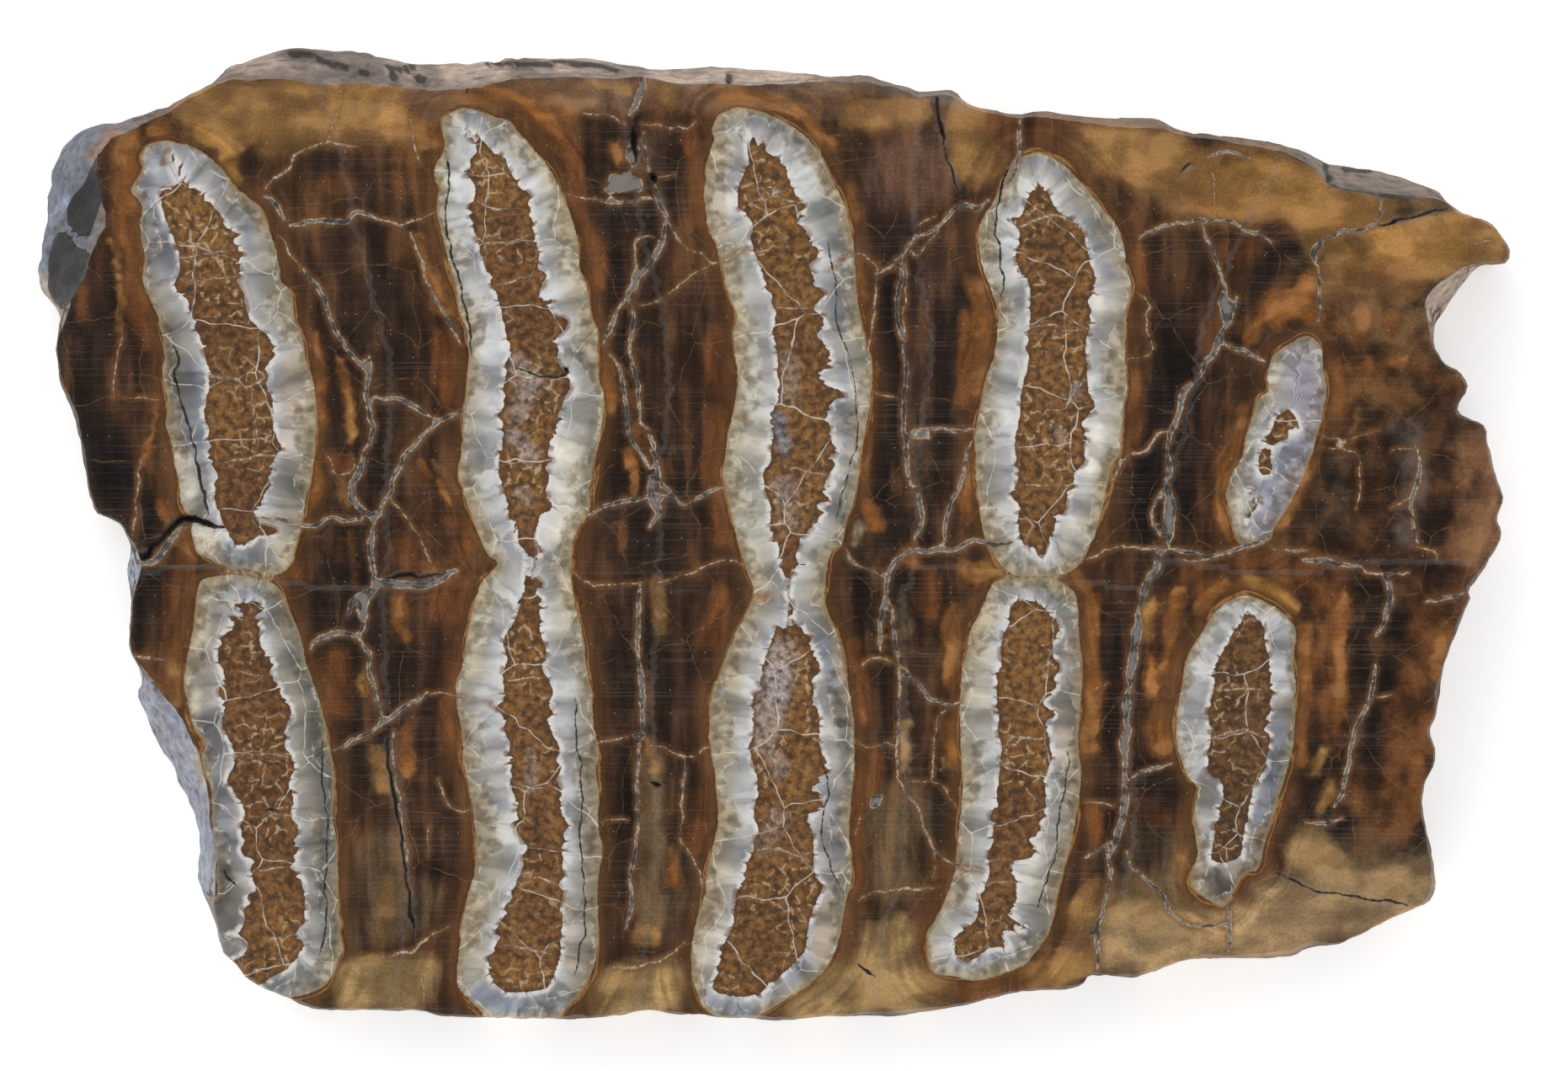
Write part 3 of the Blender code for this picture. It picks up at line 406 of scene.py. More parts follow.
# Veins with a grey or fawn mineral fill
VEINS = [
    (0.3, [(7.2, 33.5), (8.0, 33.9), (9.0, 34.4), (9.8, 35.0), (10.2, 35.7), (10.9, 36.5), (11.4, 36.6)]),
    (0.28, [(17.2, 61.2), (17.7, 60.9), (18.3, 60.2), (18.6, 59.6)]),
    (0.22, [(19.0, 59.1), (20.0, 59.3), (22.0, 59.4), (23.2, 59.4), (24.0, 60.0), (24.6, 60.0),
            (25.6, 59.5)]),
    (0.2, [(20.1, 56.0), (20.9, 54.8), (21.4, 53.8), (21.9, 52.6), (22.4, 51.5), (23.3, 50.0),
           (24.2, 49.0),
           (24.9, 48.2)]),
    (0.24, [(25.0, 49.4), (25.1, 48.4), (24.8, 47.2), (25.0, 45.2), (25.2, 43.8), (24.8, 42.6)]),
    (0.32, [(24.6, 42.2), (24.2, 41.0), (23.8, 39.8), (23.8, 38.6), (24.6, 37.9), (25.6, 37.6),
            (26.0, 38.6)]),
    (0.18, [(17.0, 37.4), (19.8, 36.9), (20.9, 36.9), (22.3, 37.4), (23.2, 37.1), (24.4, 37.3)]),
    (0.3, [(25.2, 36.8), (25.0, 35.2), (25.3, 33.8), (25.1, 32.6)]),
    (0.2, [(25.4, 46.3), (27.0, 46.2), (28.0, 45.8), (28.8, 45.3), (29.6, 44.7)]),
    (0.2, [(31.8, 45.2), (30.9, 45.0), (29.6, 44.2), (28.6, 43.0), (27.6, 42.2), (27.0, 40.7),
           (26.4, 39.2),
           (26.0, 38.2)]),
    (0.42, [(24.2, 30.0), (24.8, 31.4), (25.8, 32.5), (27.0, 32.5), (29.0, 32.4), (30.2, 32.9),
            (31.4, 33.5)]),
    (0.34, [(23.3, 30.2), (23.9, 31.3), (24.8, 32.0)]),
    (0.24, [(20.6, 27.6), (21.6, 28.5), (23.0, 28.8), (24.2, 28.8), (24.8, 30.2)]),
    (0.2, [(24.3, 28.4), (24.9, 27.2), (25.1, 25.4), (25.5, 23.8), (25.8, 22.6)]),
    (0.18, [(22.5, 20.1), (23.8, 20.9), (25.0, 21.6), (26.2, 22.3), (27.8, 23.4), (29.3, 24.4)]),
    (0.12, [(26.8, 21.4), (26.7, 19.4), (27.0, 17.0), (27.5, 14.0), (27.8, 11.4), (28.1, 9.2)]),
    (0.13, [(28.1, 58.3), (28.8, 56.6), (29.4, 54.6), (30.3, 53.0), (31.2, 51.4), (31.8, 50.4)]),
    (0.34, [(45.3, 71.0), (45.3, 69.6), (44.9, 68.4), (44.3, 67.4)]),
    (0.6, [(44.6, 65.2), (44.6, 63.6)]),
    (1.3, [(43.0, 61.9), (43.6, 62.1), (44.4, 62.2), (44.9, 62.0)]),
    (0.2, [(45.4, 66.0), (45.5, 64.4), (45.8, 63.2)]),
    (0.16, [(41.6, 61.0), (42.4, 60.8), (44.0, 60.8), (45.8, 61.1)]),
    (0.3, [(46.1, 62.0), (46.4, 60.8), (47.0, 59.8)]),
    (0.24, [(47.0, 59.6), (46.9, 58.4), (46.4, 57.2), (45.6, 55.8), (44.6, 54.6), (43.8, 53.4)]),
    (0.26, [(43.6, 53.2), (43.2, 52.2), (42.8, 51.2), (42.4, 50.2)]),
    (0.1, [(46.2, 58.3), (45.4, 58.3), (44.9, 58.0), (44.7, 56.0), (44.5, 55.0), (44.1, 54.2)]),
    (0.2, [(44.4, 53.2), (44.6, 52.0), (44.3, 50.2), (44.6, 48.4), (45.0, 46.2), (45.2, 44.8)]),
    (0.2, [(42.9, 49.4), (43.6, 48.2), (43.9, 46.6), (44.2, 45.2), (44.4, 43.4), (45.2, 42.2),
           (45.8, 40.8)]),
    (0.18, [(45.2, 44.4), (45.8, 43.6), (46.1, 42.4), (46.3, 41.0), (46.8, 39.8), (48.2, 38.3)]),
    (0.4, [(45.9, 40.4), (45.8, 39.0), (46.4, 37.8), (45.7, 36.6)]),
    (0.2, [(41.3, 37.7), (42.8, 38.3), (44.4, 38.7), (46.2, 39.0), (47.4, 38.9)]),
    (0.18, [(48.4, 38.3), (49.2, 38.7), (50.5, 39.3), (51.2, 39.7)]),
    (0.2, [(45.1, 32.6), (44.9, 30.0), (44.9, 28.0), (45.1, 26.6)]),
    (0.26, [(45.0, 27.0), (45.2, 25.0), (45.2, 22.6), (45.1, 21.2)]),
    (0.16, [(45.0, 20.8), (44.9, 17.0), (44.9, 13.6), (44.5, 11.6), (44.4, 10.0), (44.5, 8.6),
            (44.0, 7.0)]),
    (0.4, [(44.6, 21.2), (45.3, 21.0)]),
    (0.12, [(48.4, 19.6), (48.2, 17.2), (48.1, 14.2)]),
    (0.18, [(73.4, 67.3), (73.1, 66.0), (73.2, 64.6), (72.9, 63.4), (72.2, 62.0)]),
    (0.2, [(71.0, 60.9), (70.2, 60.3), (69.2, 60.6), (68.2, 60.0), (67.2, 59.0), (65.8, 58.2)]),
    (0.16, [(65.6, 58.3), (64.6, 57.0), (63.6, 55.9), (62.6, 55.4)]),
    (0.22, [(64.5, 56.6), (64.5, 55.0), (64.2, 53.4), (64.3, 51.8), (64.6, 50.0)]),
    (0.22, [(64.6, 49.6), (64.8, 47.8), (64.7, 45.8), (64.7, 43.6), (64.8, 41.6), (65.2, 40.0)]),
    (0.24, [(65.2, 39.8), (65.8, 38.8), (66.0, 37.4), (65.6, 35.8)]),
    (0.18, [(69.7, 43.0), (69.2, 41.6), (69.0, 40.0), (68.2, 38.6), (67.8, 37.0), (67.5, 35.2)]),
    (0.14, [(65.2, 43.3), (66.4, 43.2)]),
    (0.16, [(65.2, 43.8), (66.8, 44.0), (68.8, 43.8), (69.8, 44.0)]),
    (0.22, [(64.6, 34.9), (66.6, 35.0), (68.4, 35.1), (69.9, 35.7), (71.2, 35.4), (72.6, 35.5)]),
    (0.2, [(65.0, 35.1), (64.0, 34.0), (63.5, 33.0), (63.4, 31.6), (63.0, 30.0), (62.9, 27.6)]),
    (0.14, [(60.2, 35.2), (60.9, 34.0), (62.0, 33.6), (63.3, 32.8)]),
    (0.16, [(63.6, 31.1), (64.0, 29.4), (64.1, 27.6), (64.4, 26.4)]),
    (0.16, [(64.6, 26.2), (65.8, 25.1), (66.6, 24.0), (67.6, 23.6), (68.8, 23.6)]),
    (0.12, [(64.3, 26.0), (64.3, 23.0), (64.1, 20.4), (64.2, 18.0)]),
    (0.5, [(62.3, 15.8), (62.9, 16.6)]),
    (0.12, [(64.4, 17.8), (65.4, 16.2), (66.2, 14.2), (67.0, 12.7), (68.6, 11.6), (70.6, 11.2)]),
    (0.55, [(88.3, 54.0), (88.7, 53.0), (88.4, 52.2)]),
    (0.3, [(89.4, 53.6), (88.8, 52.0), (88.2, 50.8), (87.6, 49.6), (86.6, 47.9)]),
    (0.28, [(86.4, 47.6), (85.4, 46.6), (85.0, 45.0), (84.5, 43.8), (84.3, 42.4)]),
    (0.26, [(84.3, 42.2), (84.4, 41.0), (84.2, 40.0)]),
    (0.55, [(84.3, 39.6), (84.4, 38.2), (84.3, 36.8), (84.2, 35.6)]),
    (0.12, [(84.0, 39.6), (83.2, 38.2), (83.1, 37.2), (83.6, 36.0)]),
    (0.34, [(83.8, 34.9), (83.2, 33.6), (82.7, 32.4), (82.2, 31.0)]),
    (0.42, [(82.1, 30.6), (82.0, 29.0), (81.8, 27.6), (81.5, 26.2), (81.4, 25.0)]),
    (0.4, [(81.3, 24.6), (81.1, 23.4), (81.2, 22.0), (81.0, 20.4), (81.1, 18.4)]),
    (0.34, [(81.0, 18.0), (81.0, 16.0), (80.7, 14.4), (80.2, 12.8)]),
    (0.2, [(80.0, 12.4), (79.8, 9.6), (79.3, 7.8), (79.0, 6.2), (79.2, 5.0), (79.0, 3.6)]),
    (0.22, [(78.4, 6.6), (78.8, 6.3)]),
    (0.16, [(78.1, 12.2), (79.4, 13.0), (80.4, 13.6)]),
    (0.16, [(82.0, 58.0), (82.9, 58.7), (84.8, 59.15), (86.8, 59.4), (88.6, 59.3), (90.6, 58.6),
            (92.0, 57.9)]),
    (0.16, [(86.9, 59.0), (87.5, 57.0), (88.2, 55.4), (88.6, 54.2)]),
    (0.2, [(88.4, 50.2), (89.8, 49.8), (91.5, 49.0)]),
    (0.12, [(84.3, 43.8), (83.4, 43.5), (82.8, 42.4), (81.4, 42.1), (80.8, 41.4), (80.2, 40.2)]),
    (0.13, [(80.8, 35.15), (82.6, 35.0), (84.4, 35.0)]),
    (0.2, [(84.4, 35.0), (86.0, 34.8), (87.2, 34.5), (88.4, 34.8), (90.2, 35.2), (91.8, 35.8)]),
    (0.15, [(92.0, 35.1), (93.0, 34.9), (94.6, 34.9)]),
    (0.22, [(94.4, 34.2), (96.0, 34.2), (97.6, 33.8), (98.6, 33.6)]),
    (0.1, [(98.4, 33.6), (100.4, 33.2), (102.0, 33.3)]),
    (0.16, [(81.4, 18.0), (82.6, 18.5), (83.6, 18.8), (84.8, 19.2)]),
    (0.16, [(81.2, 12.6), (82.0, 11.1), (83.4, 10.0), (84.4, 8.2), (85.8, 7.2), (88.2, 7.2)]),
    (0.22, [(88.6, 8.6), (88.9, 7.2), (88.8, 5.0)]),
    (0.18, [(100.1, 61.2), (99.8, 59.4), (98.8, 58.8), (97.2, 58.7), (96.0, 58.0)]),
    (0.3, [(95.8, 57.8), (95.2, 57.2), (95.3, 56.2)]),
    (0.14, [(95.4, 56.0), (95.5, 54.0), (95.4, 52.0)]),
    (0.2, [(102.7, 42.6), (103.1, 41.2), (102.5, 39.2), (102.3, 37.4), (102.8, 35.4)]),
    (0.3, [(100.6, 33.0), (100.6, 31.0), (99.8, 28.6)]),
    (0.16, [(103.4, 31.2), (105.0, 31.5), (106.6, 31.9)]),
    (0.2, [(99.6, 26.4), (99.2, 24.0), (98.4, 22.2), (97.8, 20.0), (97.2, 17.4), (96.8, 16.0)]),
    (0.16, [(94.6, 14.7), (96.2, 14.8), (97.2, 15.1)]),
    (0.14, [(87.2, 64.0), (88.6, 64.5), (90.4, 64.0)]),
]

# Thin pale hairlines
HAIRS = [
    (0.08, [(6.7, 50.9), (6.4, 50.0), (6.1, 48.0), (6.0, 46.2)]),
    (0.06, [(6.7, 46.3), (8.0, 46.3), (9.5, 46.2)]),
    (0.09, [(8.0, 41.8), (7.8, 39.6), (7.6, 37.6), (7.4, 35.6)]),
    (0.12, [(7.3, 27.1), (8.5, 27.0), (9.8, 26.8)]),
    (0.12, [(24.2, 64.7), (22.5, 65.1), (20.5, 64.8), (19.4, 64.2), (19, 63.2), (18, 62.6),
            (17.2, 61.9)]),
    (0.06, [(23.0, 69.5), (22.5, 67.0), (21.9, 65.5)]),
    (0.1, [(25.6, 59.5), (27.0, 59.2), (28.0, 59.4), (29.0, 59.6), (29.9, 60.1)]),
    (0.08, [(18.3, 58.2), (19.0, 57.3), (20.1, 56.0)]),
    (0.08, [(21.7, 42.1), (22.3, 41.4), (22.5, 40.6), (23.5, 40.7), (23.9, 41.5), (23.6, 42.0)]),
    (0.1, [(26.5, 38.8), (27.2, 37.9), (28.3, 36.3), (29.3, 34.6), (29.9, 33.4)]),
    (0.06, [(30.1, 17.9), (30.4, 17.0), (30.7, 16.2), (31.6, 15.7), (32.6, 15.8)]),
    (0.07, [(29.4, 14.6), (29.3, 13.5), (29.4, 12.2)]),
    (0.07, [(28.1, 67.3), (28.2, 65.5), (28.8, 63.6)]),
    (0.12, [(26.0, 4.8), (28.2, 5.3), (29.0, 5.9), (30.8, 7.0)]),
    (0.06, [(29.0, 4.2), (28.9, 1.2)]),
    (0.06, [(29.3, 24.3), (30.6, 24.2), (31.4, 24.1), (33.0, 23.8), (34.2, 23.5)]),
    (0.08, [(39.5, 61.5), (41.4, 61.1), (41.8, 60.9)]),
    (0.1, [(46.9, 60.0), (47.6, 58.6), (48.4, 57.6), (49.2, 57.2), (50.5, 56.3)]),
    (0.12, [(50.5, 56.3), (51.2, 56.4), (52.0, 56.9), (53.2, 57.5)]),
    (0.07, [(45.2, 53.2), (46.0, 53.3), (47.6, 54.3), (48.4, 55.0), (49.2, 55.6), (50.4, 56.2)]),
    (0.09, [(45.3, 66.6), (46.2, 66.6), (47.2, 66.4), (48.6, 66.3), (49.2, 66.9)]),
    (0.09, [(41.0, 67.4), (42.0, 67.3), (43.0, 67.1), (43.8, 66.6)]),
    (0.07, [(45.7, 63.2), (46.4, 62.7), (47.6, 62.8)]),
    (0.08, [(40.0, 33.4), (41.2, 32.6), (41.7, 32.3), (43.2, 32.5), (45.2, 32.6)]),
    (0.08, [(46.4, 32.6), (48.4, 33.1), (50.4, 34.0), (51.8, 34.2), (52.8, 33.8)]),
    (0.1, [(42.0, 20.7), (43.0, 20.9), (44.2, 21.1)]),
    (0.1, [(45.6, 20.6), (46.8, 20.4), (48.0, 19.7), (49.2, 19.7), (49.7, 20.2), (50.2, 20.4)]),
    (0.07, [(48.1, 14.2), (47.9, 13.6), (48.9, 12.2), (49.6, 10.6), (49.7, 9.6)]),
    (0.07, [(42.3, 14.8), (43.2, 15.1), (44.0, 15.0)]),
    (0.12, [(43.0, 3.9), (45.2, 4.1), (47.0, 4.8), (48.4, 5.8)]),
    (0.06, [(58.8, 55.8), (59.6, 56.2), (60.4, 56.8)]),
    (0.09, [(60.8, 57.0), (61.6, 56.9), (62.2, 56.5), (62.8, 55.6)]),
    (0.09, [(62.6, 55.4), (62.6, 54.4), (62.4, 52.4), (62.0, 49.8)]),
    (0.07, [(66.9, 59.8), (66.0, 59.3), (65.8, 58.6)]),
    (0.07, [(67.2, 58.8), (66.6, 58.0), (65.8, 57.0), (65.0, 57.2)]),
    (0.07, [(64.8, 56.4), (64.8, 54.4), (64.6, 52.4), (64.8, 50.4)]),
    (0.06, [(62.4, 46.7), (63.2, 46.5), (64.6, 46.1)]),
    (0.09, [(61.0, 26.0), (61.6, 26.4), (62.2, 27.0), (63.0, 26.9), (64.2, 26.3)]),
    (0.08, [(61.2, 20.7), (62.2, 20.3), (63.4, 20.7), (64.1, 20.2)]),
    (0.09, [(61.6, 15.0), (61.3, 14.4), (61.0, 13.9)]),
    (0.07, [(64.1, 17.9), (65.8, 17.8), (66.8, 17.8), (67.8, 17.4), (68.4, 15.8)]),
    (0.08, [(68.0, 23.4), (67.1, 22.2), (66.9, 20.2), (66.7, 17.9)]),
    (0.05, [(66.9, 12.6), (66.8, 10.6)]),
    (0.1, [(61.3, 9.0), (62.4, 9.6), (64.0, 9.7), (67.0, 9.9)]),
    (0.07, [(78.0, 16.1), (79.0, 16.2), (80.8, 15.9)]),
    (0.06, [(78.1, 24.5), (79.8, 25.0)]),
    (0.1, [(77.0, 34.2), (78.2, 34.2), (79.0, 34.4), (79.6, 34.9), (81.0, 35.2)]),
    (0.07, [(87.3, 63.6), (87.6, 62.0), (87.8, 60.4), (87.6, 59.3)]),
    (0.06, [(82.0, 54.0), (83.0, 53.2), (82.6, 52.4), (83.0, 50.4), (83.0, 49.7), (82.4, 49.3),
            (81.3, 49.1)]),
    (0.08, [(85.0, 34.3), (86.0, 34.1), (87.8, 34.6)]),
    (0.08, [(95.2, 43.6), (96.0, 43.3), (98.2, 43.2), (99.8, 43.9)]),
    (0.07, [(95.6, 42.6), (97.6, 42.5), (98.4, 41.6), (98.5, 39.8), (98.2, 38.2)]),
    (0.08, [(100.8, 42.4), (102.6, 42.4), (102.9, 41.8)]),
    (0.06, [(100.8, 38.0), (101.8, 38.7), (102.6, 38.9)]),
    (0.07, [(102.8, 35.3), (104.0, 34.9), (104.2, 34.2)]),
    (0.08, [(99.2, 24.3), (100.0, 24.0), (101.0, 24.4)]),
    (0.06, [(106.0, 57.6), (108.6, 57.9), (109.4, 58.0)]),
    (0.08, [(9.6, 63.6), (9.9, 64.4), (10.3, 64.7)]),
    (0.08, [(11.0, 56.8), (12.6, 56.9), (13.6, 57.1), (15.0, 57.3)]),
    (0.08, [(11.3, 55.0), (13.0, 55.0), (15.0, 55.2)]),
    (0.1, [(13.2, 47.8), (15.0, 47.7), (16.2, 47.1), (17.5, 48.0)]),
    (0.1, [(13.8, 41.4), (15.5, 41.8), (18.0, 42.1)]),
    (0.06, [(16.2, 46.6), (16.5, 44.6), (16.8, 42.8)]),
    (0.1, [(15.3, 26.0), (16.4, 25.8), (17.5, 25.7)]),
    (0.1, [(15.0, 19.6), (16.5, 19.8), (19.0, 19.7)]),
    (0.1, [(15.8, 15.2), (17.4, 15.3), (19.0, 15.4)]),
    (0.08, [(16.7, 11.2), (18.0, 11.4), (19.3, 11.4)]),
    (0.09, [(32.9, 60.9), (34.4, 60.3), (36.3, 60.3)]),
    (0.09, [(32.8, 58.1), (34.6, 57.8), (37.0, 58.4)]),
    (0.1, [(34.3, 54.6), (35.6, 54.9), (37.0, 55.5), (37.8, 55.6)]),
    (0.1, [(35.2, 25.4), (36.4, 25.4), (37.6, 25.5)]),
    (0.1, [(36.0, 17.7), (37.2, 17.3), (38.2, 17.3)]),
    (0.08, [(36.2, 10.8), (38.0, 10.5), (39.2, 10.1)]),
    (0.09, [(34.9, 5.6), (36.6, 5.4), (38.6, 4.9)]),
    (0.09, [(53.2, 61.0), (55.0, 61.1), (57.0, 60.8)]),
    (0.08, [(53.2, 61.8), (54.6, 62.0), (55.8, 61.6)]),
    (0.1, [(55.2, 41.5), (57.0, 40.9), (59.0, 40.5)]),
    (0.08, [(55.0, 52.9), (56.6, 52.8), (58.0, 53.0)]),
    (0.12, [(53.9, 12.7), (55.4, 12.7), (56.8, 12.1), (58.0, 11.8)]),
    (0.12, [(73.2, 58.9), (74.5, 59.6), (76.0, 59.8), (77.3, 59.2), (77.9, 58.5)]),
    (0.09, [(74.0, 51.6), (75.5, 51.8), (76.5, 51.3), (78.5, 51.3)]),
    (0.08, [(73.0, 39.9), (75.0, 39.8), (77.0, 39.8)]),
    (0.1, [(75.2, 45.4), (76.4, 45.4), (77.2, 46.6), (78.2, 47.6)]),
    (0.1, [(72.0, 20.4), (73.4, 20.9), (75.3, 21.0)]),
    (0.08, [(71.2, 11.9), (72.0, 11.9), (72.9, 11.9)]),
    (0.1, [(87.7, 24.5), (89.4, 24.7), (91.2, 24.6)]),
    (0.1, [(87.6, 21.2), (89.0, 21.5), (90.2, 21.6), (91.5, 21.2)]),
]

# Colours of the slab, as 8-bit display values
PALETTE = {
    "coal": (24, 18, 15), "umber": (42, 29, 21), "plum": (56, 39, 31), "bark": (74, 47, 28),
    "chestnut": (104, 64, 34), "rust": (118, 70, 33), "copper": (152, 95, 42),
    "amber": (150, 110, 62), "honey": (182, 130, 62), "tan": (163, 134, 88), "olive": (112, 90, 62),
    "moss": (72, 58, 42), "pearl": (170, 168, 162), "ice": (187, 188, 190), "milk": (214, 207, 192),
    "cream": (194, 184, 160), "ochre": (160, 148, 124), "smoke": (104, 107, 106),
    "slate": (120, 127, 142), "ink": (66, 72, 78), "lilac": (160, 157, 174),
    "fawn": (188, 170, 148), "cyan": (150, 200, 215), "nut": (98, 67, 36), "gold": (124, 90, 47),
    "bole": (84, 53, 29), "straw": (160, 132, 96), "mineral": (152, 143, 140),
    "crust": (126, 111, 100), "buff": (172, 153, 137), "mauve": (96, 85, 80),
    "steel": (99, 107, 121), "frost": (144, 153, 170), "ash": (104, 94, 84), "hazel": (126, 95, 72),
    "clay": (140, 98, 68), "sorrel": (92, 66, 52),
}

